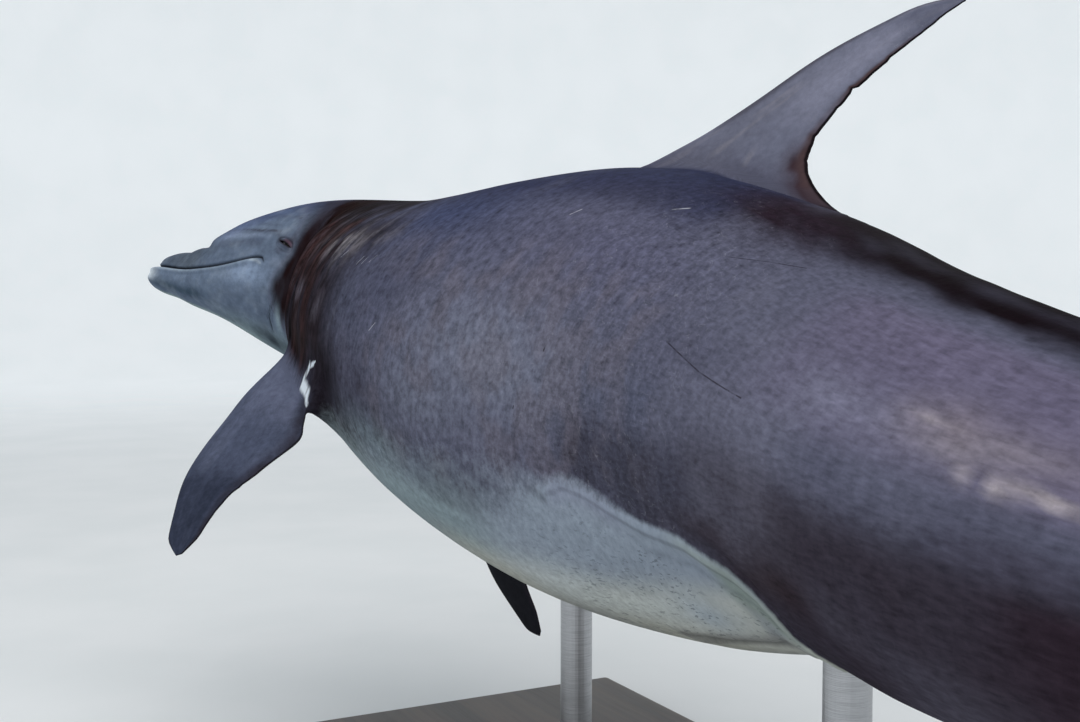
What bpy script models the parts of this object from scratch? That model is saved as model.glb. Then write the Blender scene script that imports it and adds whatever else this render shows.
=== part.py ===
"""Bottlenose dolphin, a life-size still model on a display stand. Metres, +Z up, head towards -Y.

The animal is drawn in a straight frame (left, station from the snout, up), bent along its
spine into a turning, banked swimming pose, and set over a plain base on two rods."""
import math

import bpy
import numpy as np

# ------------------------------------------------------------------ driving sizes
LENGTH = 2.50            # snout tip to the notch of the flukes
U_REF = 1.10             # station that the pose turns about
GAP = 0.0003             # between neighbouring solids
NECK_CUT = 0.455         # station where the head meets the trunk
TAIL_CUT = 1.700         # station where the trunk meets the tail stock
BODY_END = 2.478         # end of the tail stock, at the notch
AROUND = 40              # points round the body
CLEARANCE = 0.120        # lowest flipper tip above the base
BASE_X, BASE_Y, BASE_Z = 0.560, 1.240, 0.030
BASE_BEVEL = 0.008
ROD_RADIUS = 0.019
COLLAR_RADIUS, COLLAR_HEIGHT = 0.050, 0.012
ROD_STATIONS = (1.06, 1.66)
EYE_RADIUS = 0.018
EYE_DEPTH = 0.0155       # centre of the eyeball below the skin
EYE_STATION, EYE_ANGLE = 0.3620, 77.0

# station, top, bottom, half width, height of the widest line, roundness above, roundness below
LINES = [
    (0.000, -0.050, -0.060, 0.010, -0.056, 2.0, 2.0),
    (0.012, -0.034, -0.073, 0.023, -0.056, 2.1, 2.0),
    (0.030, -0.024, -0.080, 0.030, -0.056, 2.2, 2.1),
    (0.060, -0.015, -0.086, 0.036, -0.056, 2.2, 2.1),
    (0.095, -0.009, -0.093, 0.045, -0.056, 2.2, 2.1),
    (0.122, -0.003, -0.098, 0.054, -0.056, 2.2, 2.1),
    (0.145, 0.010, -0.101, 0.064, -0.054, 2.15, 2.1),
    (0.180, 0.035, -0.106, 0.080, -0.050, 2.1, 2.1),
    (0.250, 0.080, -0.122, 0.101, -0.038, 2.1, 2.1),
    (0.340, 0.114, -0.145, 0.118, -0.022, 2.1, 2.1),
    (0.450, 0.133, -0.165, 0.142, -0.014, 2.03, 2.1),
    (0.600, 0.156, -0.195, 0.178, -0.014, 1.89, 2.1),
    (0.800, 0.194, -0.229, 0.209, -0.012, 1.86, 2.1),
    (1.050, 0.243, -0.252, 0.227, -0.010, 1.64, 2.1),
    (1.300, 0.228, -0.245, 0.214, -0.008, 1.83, 2.05),
    (1.550, 0.179, -0.191, 0.173, -0.004, 1.81, 1.95),
    (1.750, 0.142, -0.138, 0.129, 0.000, 1.73, 1.80),
    (1.950, 0.116, -0.112, 0.086, 0.000, 1.66, 1.65),
    (2.150, 0.086, -0.078, 0.052, 0.000, 1.60, 1.60),
    (2.330, 0.050, -0.046, 0.036, 0.000, 1.80, 1.80),
    (2.430, 0.024, -0.022, 0.032, 0.000, 1.90, 1.90),
    (2.478, 0.006, -0.006, 0.012, 0.000, 2.00, 2.00),
]

# height of the mouth line at a station; the gape ends at the last one
MOUTH = [(-0.010, -0.0500), (0.020, -0.0470), (0.054, -0.0462), (0.130, -0.0465), (0.180, -0.0430),
         (0.227, -0.0356), (0.271, -0.0235), (0.303, -0.0150), (0.320, -0.0150), (0.330, -0.0185)]

# degrees; each turn is spread between two stations
POSE = dict(neck_yaw=31.2, neck_pitch=12.6, neck_roll=-2.6, neck_a=0.31, neck_b=0.61,
            front_yaw=0.6, front_pitch=-7.5, rear_yaw=-30.7, rear_pitch=-5.6,
            tail_yaw=20.0, tail_pitch=6.0, tail_a=1.72, tail_b=2.42)
UP = (0.327, -0.098, 0.940)       # the world's up, in the straight frame: banked and a little nose-up

# fins: share of the span, along, out
DORSAL = dict(
    lead=[(0, 1.030, 0.225), (.10, 1.066, 0.250), (.22, 1.118, 0.281), (.36, 1.178, 0.311), (.50, 1.236, 0.341),
          (.63, 1.288, 0.369), (.76, 1.342, 0.392), (.88, 1.400, 0.411), (.96, 1.452, 0.421), (1, 1.492, 0.421)],
    trail=[(0, 1.470, 0.185), (.10, 1.415, 0.210), (.22, 1.368, 0.234), (.36, 1.343, 0.264), (.50, 1.349, 0.297),
           (.63, 1.372, 0.328), (.76, 1.404, 0.357), (.88, 1.440, 0.385), (.96, 1.472, 0.406), (1, 1.492, 0.417)],
    thick=[(0, .085), (.15, .105), (.4, .115), (.7, .12), (1, .13)], at=1.28)
FLIPPER = dict(
    lead=[(0, -.079, .047), (.10, -.037, .061), (.20, .011, .077), (.33, .075, .083), (.44, .126, .085),
          (.56, .182, .082), (.69, .234, .070), (.81, .284, .051), (.90, .326, .034), (.96, .350, .019), (1, .374, -.004)],
    trail=[(0, .079, -.047), (.10, .100, -.055), (.20, .124, -.063), (.33, .158, -.071), (.44, .190, -.055),
           (.56, .224, -.038), (.69, .256, -.021), (.81, .290, -.015), (.90, .322, -.016), (.96, .348, -.016), (1, .372, -.008)],
    thick=[(0, .30), (.15, .24), (.33, .17), (.6, .14), (1, .14)], at=0.61)
FLIPPER_ROOT = (0.151, 0.665, -0.156)
FLIPPER_SPAN = (0.472, 0.709, -0.524)
FLIPPER_CHORD = (0.474, -0.705, -0.527)
RIGHT_TURN = (13.0, -18.5, -19.0)   # degrees that the right flipper turns at its shoulder from the left one's mirror: twist, flap, sweep
RIGHT_SHIFT = -0.017
FLUKE = dict(
    lead=[(0, 2.290, 0.000), (.10, 2.302, 0.034), (.22, 2.322, 0.075), (.36, 2.348, 0.122), (.50, 2.376, 0.168),
          (.63, 2.404, 0.208), (.76, 2.436, 0.244), (.88, 2.470, 0.272), (.96, 2.500, 0.287), (1, 2.528, 0.294)],
    trail=[(0, 2.474, 0.000), (.10, 2.482, 0.018), (.22, 2.500, 0.052), (.36, 2.508, 0.098), (.50, 2.508, 0.146),
           (.63, 2.507, 0.190), (.76, 2.509, 0.230), (.88, 2.517, 0.262), (.96, 2.526, 0.283), (1, 2.532, 0.292)],
    thick=[(0, .13), (.2, .12), (.5, .11), (1, .12)], at=2.38)


# ------------------------------------------------------------------ curves and sections
def spline(xs, ys):
    """Natural cubic through the named stations."""
    xs, ys = np.asarray(xs, float), np.asarray(ys, float)
    n = len(xs)
    h = np.diff(xs)
    a = np.zeros((n, n))
    b = np.zeros(n)
    a[0, 0] = a[-1, -1] = 1.0
    for i in range(1, n - 1):
        a[i, i - 1], a[i, i], a[i, i + 1] = h[i - 1], 2 * (h[i - 1] + h[i]), h[i]
        b[i] = 6 * ((ys[i + 1] - ys[i]) / h[i] - (ys[i] - ys[i - 1]) / h[i - 1])
    m = np.linalg.solve(a, b)

    def at(x):
        x = np.clip(np.asarray(x, float), xs[0], xs[-1])
        i = np.clip(np.searchsorted(xs, x, side="right") - 1, 0, n - 2)
        t, hh = x - xs[i], h[i]
        r = xs[i + 1] - x
        return (m[i] * r**3 + m[i + 1] * t**3) / (6 * hh) + (ys[i] / hh - m[i] * hh / 6) * r + (ys[i + 1] / hh - m[i + 1] * hh / 6) * t

    return at


def table(rows, k):
    return spline([r[0] for r in rows], [r[k] for r in rows])


def smooth(x, a, b):
    t = np.clip((np.asarray(x, float) - a) / (b - a), 0, 1)
    return t * t * t * (t * (6 * t - 15) + 10)


BODY = [table(LINES, k) for k in range(1, 7)]


def section(u, theta, grow=0.0):
    """The ring at station u, angle theta from the top towards the left: (left, up)."""
    top, bot, w, zw, nt, nb = (g(u) for g in BODY)
    s, c = np.sin(theta), np.cos(theta)
    n = np.where(c >= 0, nt, nb)
    k = (np.abs(s) ** n + np.abs(c) ** n) ** (-1 / n)
    h = np.where(c >= 0, top - zw, zw - bot) + grow
    return k * (w + grow) * s, zw + k * h * c


# ------------------------------------------------------------------ pose
def rot(yaw, pitch, roll):
    cy, sy = np.cos(yaw), np.sin(yaw)
    cp, sp = np.cos(pitch), np.sin(pitch)
    cr, sr = np.cos(roll), np.sin(roll)
    z, o = np.zeros_like(cy), np.ones_like(cy)
    m = lambda *r: np.stack([np.stack(q, -1) for q in r], -2)
    return m((cy, -sy, z), (sy, cy, z), (z, z, o)) @ m((o, z, z), (z, cp, -sp), (z, sp, cp)) @ m((cr, z, sr), (z, o, z), (-sr, z, cr))


def angles(u):
    p = POSE
    neck = 1 - smooth(u, p["neck_a"], p["neck_b"])
    front = 1 - smooth(u, 0.50, U_REF)
    rear = smooth(u, U_REF, 1.75)
    tail = smooth(u, p["tail_a"], p["tail_b"])
    yaw = p["neck_yaw"] * neck + p["front_yaw"] * front + p["rear_yaw"] * rear + p["tail_yaw"] * tail
    pitch = p["neck_pitch"] * neck + p["front_pitch"] * front + p["rear_pitch"] * rear + p["tail_pitch"] * tail
    return np.radians(yaw), np.radians(pitch), np.radians(p["neck_roll"] * neck)


US = np.linspace(-0.1, LENGTH + 0.1, 1301)
RS = rot(*angles(US))
STEP = US[1] - US[0]
AXIS = np.concatenate([np.zeros((1, 3)), np.cumsum((RS[1:, :, 1] + RS[:-1, :, 1]) / 2 * STEP, 0)])
AXIS = AXIS - np.array([np.interp(U_REF, US, AXIS[:, k]) for k in range(3)])


def frame(u):
    x = (np.clip(np.asarray(u, float), US[0], US[-1] - 1e-9) - US[0]) / STEP
    i = np.clip(x.astype(int), 0, len(US) - 2)
    k = (x - i)[..., None]
    return AXIS[i] * (1 - k) + AXIS[i + 1] * k, RS[i] * (1 - k[..., None]) + RS[i + 1] * k[..., None]


def bend(p):
    """Points of the straight frame, bent along the spine."""
    c, r = frame(p[..., 1])
    return c + p[..., 0:1] * r[..., :, 0] + p[..., 2:3] * r[..., :, 2]


def rigid(p, at):
    """Points carried whole by the spine at one station, as a stiff fin is."""
    c, r = frame(np.array(float(at)))
    return c + (p - np.array([0, at, 0])) @ r.T


def turn(w):
    w = np.radians(np.asarray(w, float))
    a = np.linalg.norm(w)
    if a < 1e-12:
        return np.eye(3)
    k = w / a
    m = np.array([[0, -k[2], k[1]], [k[2], 0, -k[0]], [-k[1], k[0], 0]])
    return np.eye(3) + math.sin(a) * m + (1 - math.cos(a)) * m @ m


# ------------------------------------------------------------------ fins
def foil(s):
    """Half thickness along the chord for a full thickness of 1."""
    s = np.clip(s, 0, 1)
    return 5 * (0.2969 * np.sqrt(s) - 0.126 * s - 0.3516 * s**2 + 0.2843 * s**3 - 0.1036 * s**4)


def blade(fin, ts, side, edge=0.0008):
    """Closed loops of a fin, in its own plane: along, out, across."""
    la, lo, ta, to = (table(fin[e], k)(ts) for e, k in (("lead", 1), ("lead", 2), ("trail", 1), ("trail", 2)))
    th = table(fin["thick"], 1)(ts)
    s = np.concatenate([side, side[-2:0:-1]])
    sign = np.concatenate([np.ones(len(side)), -np.ones(len(side) - 2)])
    sign[0] = sign[len(side) - 1] = 0.0
    chord = np.hypot(ta - la, to - lo)
    a = la[:, None] + (ta - la)[:, None] * s
    o = lo[:, None] + (to - lo)[:, None] * s
    return np.stack([a, o, sign * np.maximum(foil(s) * (th * chord)[:, None], edge)], -1)


def place_dorsal(q):
    p = np.stack([q[..., 2], q[..., 0], q[..., 1]], -1)
    k = smooth(p[..., 2] - BODY[0](p[..., 1]), 0.0, 0.06)[..., None]
    return bend(p) * (1 - k) + rigid(p, DORSAL["at"]) * k


def place_flipper(q, side, shares):
    """shares is each loop's share of the span; the right flipper turns at its shoulder, more from loop to loop."""
    s = np.array(FLIPPER_SPAN) / np.linalg.norm(FLIPPER_SPAN)
    c = np.array(FLIPPER_CHORD) - s * (np.array(FLIPPER_CHORD) @ s)
    c /= np.linalg.norm(c)
    b = np.stack([s, c, np.cross(s, c)], 1)
    root = np.array(FLIPPER_ROOT) + np.array([0, RIGHT_SHIFT if side < 0 else 0, 0])
    rows = []
    for loop, t in zip(q, shares):
        m = b @ turn(np.array(RIGHT_TURN) * smooth(t, -0.02, 0.40)) if side < 0 else b
        rows.append(root + loop @ m.T)
    p = np.array(rows) * np.array([side, 1, 1])
    k = smooth(q[..., 0] * 0.8 - q[..., 1] * 0.3, -0.02, 0.08)[..., None]
    return bend(p) * (1 - k) + rigid(p, FLIPPER["at"]) * k


def place_fluke(q, side):
    p = np.stack([q[..., 1] * side, q[..., 0], q[..., 2]], -1)
    k = smooth(q[..., 1], 0.02, 0.08)[..., None]
    return bend(p) * (1 - k) + rigid(p, FLUKE["at"]) * k


# ------------------------------------------------------------------ the world
def world_axes():
    z = np.array(UP) / np.linalg.norm(UP)
    d = bend(np.array([[0, 2.45, 0.0]]))[0] - bend(np.array([[0, 0.0, -0.056]]))[0]
    y = d - z * (d @ z)
    y /= np.linalg.norm(y)
    return np.stack([np.cross(y, z), y, z])


WORLD = world_axes()


def ring_points(us, n=AROUND, grow=0.0):
    u, t = np.meshgrid(us, np.linspace(0, 2 * math.pi, n, endpoint=False), indexing="ij")
    x, z = section(u, t, grow)
    return bend(np.stack([x, u, z], -1))


def fin_loops(fin, place, ts, side, inward):
    """Loops from inside the body out to the tip."""
    q = blade(fin, ts, side)
    root = q[:1] + np.array(inward)
    return place(np.concatenate([root, q]))


def half_cosine(n):
    return (1 - np.cos(np.linspace(0, math.pi, n))) / 2


SPAN = np.array([0, .08, .16, .25, .35, .45, .55, .65, .75, .84, .91, .96, 0.992])
SIDE = half_cosine(9)
HEAD_STATIONS = np.array([0.0015, 0.006, 0.013, 0.024, 0.040, 0.060, 0.082, 0.104, 0.120, 0.134, 0.150, 0.170, 0.195, 0.225,
                          0.260, 0.298, 0.335, 0.375, 0.415, NECK_CUT])
TRUNK_STATIONS = np.array([NECK_CUT + GAP, 0.49, 0.53, 0.575, 0.625, 0.68, 0.74, 0.805, 0.875, 0.95, 1.025, 1.10, 1.175, 1.25,
                           1.325, 1.40, 1.47, 1.535, 1.60, 1.655, TAIL_CUT])
TAIL_STATIONS = np.array([TAIL_CUT + GAP, 1.76, 1.82, 1.885, 1.95, 2.02, 2.09, 2.16, 2.225, 2.285, 2.335, 2.38, 2.42, 2.45, 2.468, BODY_END])

FINS = {
    "dorsal_fin": fin_loops(DORSAL, place_dorsal, SPAN, SIDE, (0.0, -0.040, 0.0)),
    "flipper_left": fin_loops(FLIPPER, lambda q: place_flipper(q, 1, np.append(0, SPAN)), SPAN, SIDE, (-0.070, 0.000, 0.0)),
    "flipper_right": fin_loops(FLIPPER, lambda q: place_flipper(q, -1, np.append(0, SPAN)), SPAN, SIDE, (-0.070, 0.000, 0.0)),
    "fluke_left": place_fluke(blade(FLUKE, SPAN, SIDE) + np.array([0, 0.0002, 0]), 1),
    "fluke_right": place_fluke(blade(FLUKE, SPAN, SIDE) + np.array([0, 0.0002, 0]), -1),
}


def origin():
    """The middle of the animal's and the base's box, at floor level."""
    pts = [ring_points(s).reshape(-1, 3) for s in (HEAD_STATIONS, TRUNK_STATIONS, TAIL_STATIONS)]
    pts = np.concatenate(pts + [f[1:].reshape(-1, 3) for f in FINS.values()]) @ WORLD.T
    low, high = pts.min(0), pts.max(0)
    base = np.array([WORLD @ bend(np.array([[0, u, 0.0]]))[0] for u in ROD_STATIONS]).mean(0)[:2]
    half = np.array([BASE_X, BASE_Y]) / 2
    low2, high2 = np.minimum(low[:2], base - half), np.maximum(high[:2], base + half)
    mid = (low2 + high2) / 2
    return np.array([mid[0], mid[1], low[2] - CLEARANCE - BASE_Z]), base


ORIGIN, BASE_MID = origin()


def to_world(p):
    return p @ WORLD.T - ORIGIN


# ------------------------------------------------------------------ Blender
for old in list(bpy.data.objects):
    bpy.data.objects.remove(old, do_unlink=True)


def material(name, color, rough, metal=0.0):
    m = bpy.data.materials.new(name)
    m.use_nodes = True
    shader = m.node_tree.nodes["Principled BSDF"]
    shader.inputs["Base Color"].default_value = (*color, 1)
    shader.inputs["Roughness"].default_value = rough
    shader.inputs["Metallic"].default_value = metal
    m.diffuse_color = (*color, 1)
    return m


HOLDER = bpy.data.objects.new("dolphin_model", None)
bpy.context.collection.objects.link(HOLDER)


def mesh_object(name, verts, faces, mat=None, cutter=False):
    mesh = bpy.data.meshes.new(name)
    mesh.from_pydata([tuple(map(float, v)) for v in verts], [], faces)
    mesh.validate()
    obj = bpy.data.objects.new(name, mesh)
    bpy.context.collection.objects.link(obj)
    if mat is not None:
        mesh.materials.append(mat)
    if cutter:
        obj.hide_render = True
        obj.display_type = "WIRE"
    obj.parent = HOLDER
    return obj


def loft(loops, flip=False):
    """Closed tube through loops (rings, points, 3), its ends closed by fans about their middles."""
    r, n = loops.shape[:2]
    verts = np.concatenate([loops.reshape(-1, 3), [loops[0].mean(0)], [loops[-1].mean(0)]])
    faces = []
    for i in range(r - 1):
        for j in range(n):
            k = (j + 1) % n
            faces.append((i * n + j, i * n + k, (i + 1) * n + k, (i + 1) * n + j))
    for j in range(n):
        k = (j + 1) % n
        faces.append((r * n, k, j))
        faces.append((r * n + 1, (r - 1) * n + j, (r - 1) * n + k))
    volume = 0.0
    for f in faces:
        for a in range(1, len(f) - 1):
            volume += np.dot(verts[f[0]], np.cross(verts[f[a]], verts[f[a + 1]]))
    if volume < 0:
        faces = [f[::-1] for f in faces]
    return verts, faces


def boolean(obj, other, how="DIFFERENCE"):
    m = obj.modifiers.new(how.lower(), "BOOLEAN")
    m.operation = how
    m.solver = "EXACT"
    m.object = other


SKIN_BACK = material("skin_back", (0.135, 0.120, 0.150), 0.42)
SKIN_FACE = material("skin_face", (0.230, 0.260, 0.300), 0.42)
SKIN_FIN = material("skin_fin", (0.105, 0.095, 0.120), 0.45)
SKIN_TAIL = material("skin_tail", (0.110, 0.098, 0.125), 0.42)
EYE = material("eye", (0.030, 0.018, 0.014), 0.12)
STAND = material("stand_base", (0.055, 0.055, 0.058), 0.45)
ROD = material("stand_rod", (0.420, 0.425, 0.435), 0.32, 1.0)

body_all = np.concatenate([HEAD_STATIONS, TRUNK_STATIONS, TAIL_STATIONS])
cut_body = mesh_object("cut_body", *loft(to_world(ring_points(body_all, grow=GAP))), cutter=True)

# ---- the mouth: a thin curved cut, down behind the corner of the gape
mouth_at = spline([m[0] for m in MOUTH], [m[1] for m in MOUTH])


def jaw_block(shift):
    """A block below the mouth line and before the hinge line, drawn in or out by shift."""
    us = np.concatenate([np.linspace(-0.030, 0.0, 3), np.linspace(0.012, MOUTH[-1][0], 34)])
    roof = [(u, float(mouth_at(u)) - shift) for u in us]
    back_u, back_z = MOUTH[-1][0], float(mouth_at(MOUTH[-1][0]))
    rear = [(back_u - shift, back_z - shift), (back_u + 0.006 - shift, -0.060), (back_u + 0.014 - shift, -0.110), (back_u + 0.024 - shift, -0.230)]
    line = roof[:-1] + rear
    n = len(line)
    left = np.array([[0.25, u, z] for u, z in line])
    low = np.array([[0.25, min(u, back_u - shift + 0.024), -0.230] for u, z in line])
    pts = np.concatenate([left, low, left * [-1, 1, 1], low * [-1, 1, 1]])
    faces = []
    for i in range(n - 2):
        faces.append((i, i + 1, n + i + 1, n + i))
        faces.append((2 * n + i + 1, 2 * n + i, 3 * n + i, 3 * n + i + 1))
        faces.append((i + 1, i, 2 * n + i, 2 * n + i + 1))
        faces.append((n + i, n + i + 1, 3 * n + i + 1, 3 * n + i))
    e = n - 2
    faces.append((e, e + 1, n + e))
    faces.append((2 * n + e + 1, 2 * n + e, 3 * n + e))
    faces.append((e + 1, e, 2 * n + e, 2 * n + e + 1))
    faces.append((n + e, e + 1, 2 * n + e + 1, 3 * n + e))
    faces.append((0, n, 3 * n, 2 * n))
    used = sorted({i for f in faces for i in f})
    remap = {v: i for i, v in enumerate(used)}
    faces = [tuple(remap[i] for i in f) for f in faces]
    verts = to_world(bend(pts))[used]
    volume = 0.0
    for f in faces:
        for a in range(1, len(f) - 1):
            volume += np.dot(verts[f[0]], np.cross(verts[f[a]], verts[f[a + 1]]))
    if volume < 0:
        faces = [f[::-1] for f in faces]
    return verts, faces


head_loft = loft(to_world(ring_points(HEAD_STATIONS)))
head = mesh_object("head", *head_loft, SKIN_FACE)
jaw = mesh_object("lower_jaw", *head_loft, SKIN_FACE)
boolean(head, mesh_object("cut_mouth_upper", *jaw_block(-GAP / 2), cutter=True))
boolean(jaw, mesh_object("cut_mouth_lower", *jaw_block(GAP / 2), cutter=True), "INTERSECT")


# ---- the eyes, each seated in a socket that is open to the outside
def eye_point(side):
    e = 1e-4
    t = math.radians(EYE_ANGLE)
    f = lambda u, a: bend(np.array([[float(section(u, a)[0]) * side, u, float(section(u, a)[1])]]))[0]
    p = f(EYE_STATION, t)
    n = np.cross(f(EYE_STATION + e, t) - p, f(EYE_STATION, t + e) - p) * side
    n /= np.linalg.norm(n)
    inside = bend(np.array([[0, EYE_STATION, -0.02]]))[0]
    if n @ (p - inside) < 0:
        n = -n
    return to_world(p - n * EYE_DEPTH), WORLD @ n


def ball(radius, rings=10, around=20):
    verts = [(0, 0, radius)]
    for i in range(1, rings):
        a = math.pi * i / rings
        verts += [(radius * math.sin(a) * math.cos(2 * math.pi * j / around), radius * math.sin(a) * math.sin(2 * math.pi * j / around), radius * math.cos(a)) for j in range(around)]
    verts.append((0, 0, -radius))
    faces = [(0, 1 + j, 1 + (j + 1) % around) for j in range(around)]
    for i in range(rings - 2):
        a, b = 1 + i * around, 1 + (i + 1) * around
        faces += [(a + j, b + j, b + (j + 1) % around, a + (j + 1) % around) for j in range(around)]
    last, end = 1 + (rings - 2) * around, len(verts) - 1
    faces += [(last + j, end, last + (j + 1) % around) for j in range(around)]
    return np.array(verts), faces


for name, side in (("left", 1), ("right", -1)):
    centre, normal = eye_point(side)
    z = normal
    x = np.cross([0, 0, 1.0], z)
    x /= np.linalg.norm(x)
    axes = np.stack([x, np.cross(z, x), z], 1)
    v, f = ball(EYE_RADIUS)
    mesh_object("eye_" + name, v @ axes.T + centre, f, EYE)
    v, f = ball(EYE_RADIUS + GAP)
    boolean(head, mesh_object("cut_eye_" + name, v @ axes.T + centre, f, cutter=True))

# ---- trunk and tail stock
trunk = mesh_object("trunk", *loft(to_world(ring_points(TRUNK_STATIONS))), SKIN_BACK)
tail = mesh_object("tail_stock", *loft(to_world(ring_points(TAIL_STATIONS))), SKIN_TAIL)

# ---- fins, each cut to the body by its own gap
for name, loops in FINS.items():
    boolean(mesh_object(name, *loft(to_world(loops)), SKIN_FIN), cut_body)


# ---- the stand
def box(name, size, centre, bevel, mat):
    x, y, z = (s / 2 for s in size)
    v = [(i * x, j * y, k * z) for i in (-1, 1) for j in (-1, 1) for k in (-1, 1)]
    f = [(0, 1, 3, 2), (4, 6, 7, 5), (0, 4, 5, 1), (2, 3, 7, 6), (0, 2, 6, 4), (1, 5, 7, 3)]
    obj = mesh_object(name, np.array(v), f, mat)
    obj.location = centre
    m = obj.modifiers.new("edge", "BEVEL")
    m.width, m.segments, m.limit_method = bevel, 3, "ANGLE"
    return obj


centre = np.array([BASE_MID[0], BASE_MID[1], 0]) - np.array([ORIGIN[0], ORIGIN[1], 0])
box("stand_base", (BASE_X, BASE_Y, BASE_Z), (centre[0], centre[1], BASE_Z / 2), BASE_BEVEL, STAND)


def rod(name, station):
    """A round rod with a collar on the base, cut to the belly at its top."""
    foot = to_world(bend(np.array([[0, station, 0.0]])))[0]
    low = BASE_Z + GAP
    profile = [(COLLAR_RADIUS, low), (COLLAR_RADIUS, low + COLLAR_HEIGHT - 0.003), (COLLAR_RADIUS - 0.003, low + COLLAR_HEIGHT),
               (ROD_RADIUS, low + COLLAR_HEIGHT), (ROD_RADIUS, foot[2])]
    n = 32
    loops = np.array([[(r * math.cos(2 * math.pi * j / n) + foot[0], r * math.sin(2 * math.pi * j / n) + foot[1], z) for j in range(n)] for r, z in profile])
    boolean(mesh_object(name, *loft(loops), ROD), cut_body)
    return foot


ROD_FEET = [rod("stand_rod_front", ROD_STATIONS[0]), rod("stand_rod_rear", ROD_STATIONS[1])]
print("base centre", centre, "rods", ROD_FEET, "origin", ORIGIN)
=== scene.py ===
"""Bottlenose dolphin, life size, on its display stand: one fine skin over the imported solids,
with its relief, markings and materials. Metres, +Z up, head towards -Y."""
import math

import bpy
import numpy as np
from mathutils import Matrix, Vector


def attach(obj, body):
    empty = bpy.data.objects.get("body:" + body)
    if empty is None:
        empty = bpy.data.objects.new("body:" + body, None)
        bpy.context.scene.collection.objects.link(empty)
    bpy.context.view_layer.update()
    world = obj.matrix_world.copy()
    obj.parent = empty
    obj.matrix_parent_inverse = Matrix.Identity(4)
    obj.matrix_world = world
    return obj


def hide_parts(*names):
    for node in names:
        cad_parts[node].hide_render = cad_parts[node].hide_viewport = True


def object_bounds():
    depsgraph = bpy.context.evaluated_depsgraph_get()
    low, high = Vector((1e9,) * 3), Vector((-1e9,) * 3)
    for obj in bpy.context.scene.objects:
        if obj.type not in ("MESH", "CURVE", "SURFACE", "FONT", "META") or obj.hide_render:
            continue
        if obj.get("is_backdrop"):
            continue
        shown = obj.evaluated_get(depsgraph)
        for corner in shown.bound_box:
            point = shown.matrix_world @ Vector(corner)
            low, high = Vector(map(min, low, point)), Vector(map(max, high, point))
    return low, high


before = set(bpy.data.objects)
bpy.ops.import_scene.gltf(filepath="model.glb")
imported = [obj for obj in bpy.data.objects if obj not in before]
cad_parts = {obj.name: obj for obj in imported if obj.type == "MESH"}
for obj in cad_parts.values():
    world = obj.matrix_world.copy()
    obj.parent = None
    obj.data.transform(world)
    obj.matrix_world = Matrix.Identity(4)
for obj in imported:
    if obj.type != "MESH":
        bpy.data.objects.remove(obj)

CAD_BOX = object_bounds()

# ================================================================== the generator: same sizes as the solids
LENGTH = 2.50
U_REF = 1.10
BODY_END = 2.478
EYE_RADIUS, EYE_DEPTH = 0.018, 0.0155
EYE_STATION, EYE_ANGLE = 0.3620, 77.0
ORIGIN = np.array([0.181723, 0.195427, -0.516653])

# station, top, bottom, half width, height of the widest line, roundness above, roundness below
LINES = [
    (0.000, -0.050, -0.060, 0.010, -0.056, 2.0, 2.0),
    (0.012, -0.034, -0.073, 0.023, -0.056, 2.1, 2.0),
    (0.030, -0.024, -0.080, 0.030, -0.056, 2.2, 2.1),
    (0.060, -0.015, -0.086, 0.036, -0.056, 2.2, 2.1),
    (0.095, -0.009, -0.093, 0.045, -0.056, 2.2, 2.1),
    (0.122, -0.003, -0.098, 0.054, -0.056, 2.2, 2.1),
    (0.145, 0.010, -0.101, 0.064, -0.054, 2.15, 2.1),
    (0.180, 0.035, -0.106, 0.080, -0.050, 2.1, 2.1),
    (0.250, 0.080, -0.122, 0.101, -0.038, 2.1, 2.1),
    (0.340, 0.114, -0.145, 0.118, -0.022, 2.1, 2.1),
    (0.450, 0.133, -0.165, 0.142, -0.014, 2.03, 2.1),
    (0.600, 0.156, -0.195, 0.178, -0.014, 1.89, 2.1),
    (0.800, 0.194, -0.229, 0.209, -0.012, 1.86, 2.1),
    (1.050, 0.243, -0.252, 0.227, -0.010, 1.64, 2.1),
    (1.300, 0.228, -0.245, 0.214, -0.008, 1.83, 2.05),
    (1.550, 0.179, -0.191, 0.173, -0.004, 1.81, 1.95),
    (1.750, 0.142, -0.138, 0.129, 0.000, 1.73, 1.80),
    (1.950, 0.116, -0.112, 0.086, 0.000, 1.66, 1.65),
    (2.150, 0.086, -0.078, 0.052, 0.000, 1.60, 1.60),
    (2.330, 0.050, -0.046, 0.036, 0.000, 1.80, 1.80),
    (2.430, 0.024, -0.022, 0.032, 0.000, 1.90, 1.90),
    (2.478, 0.006, -0.006, 0.012, 0.000, 2.00, 2.00),
]
MOUTH = [(-0.010, -0.0500), (0.020, -0.0470), (0.054, -0.0462), (0.130, -0.0465), (0.180, -0.0430),
         (0.227, -0.0356), (0.271, -0.0235), (0.303, -0.0150), (0.320, -0.0150), (0.330, -0.0185)]
POSE = dict(neck_yaw=31.2, neck_pitch=12.6, neck_roll=-2.6, neck_a=0.31, neck_b=0.61,
            front_yaw=0.6, front_pitch=-7.5, rear_yaw=-30.7, rear_pitch=-5.6,
            tail_yaw=20.0, tail_pitch=6.0, tail_a=1.72, tail_b=2.42)
UP = (0.327, -0.098, 0.940)
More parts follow.
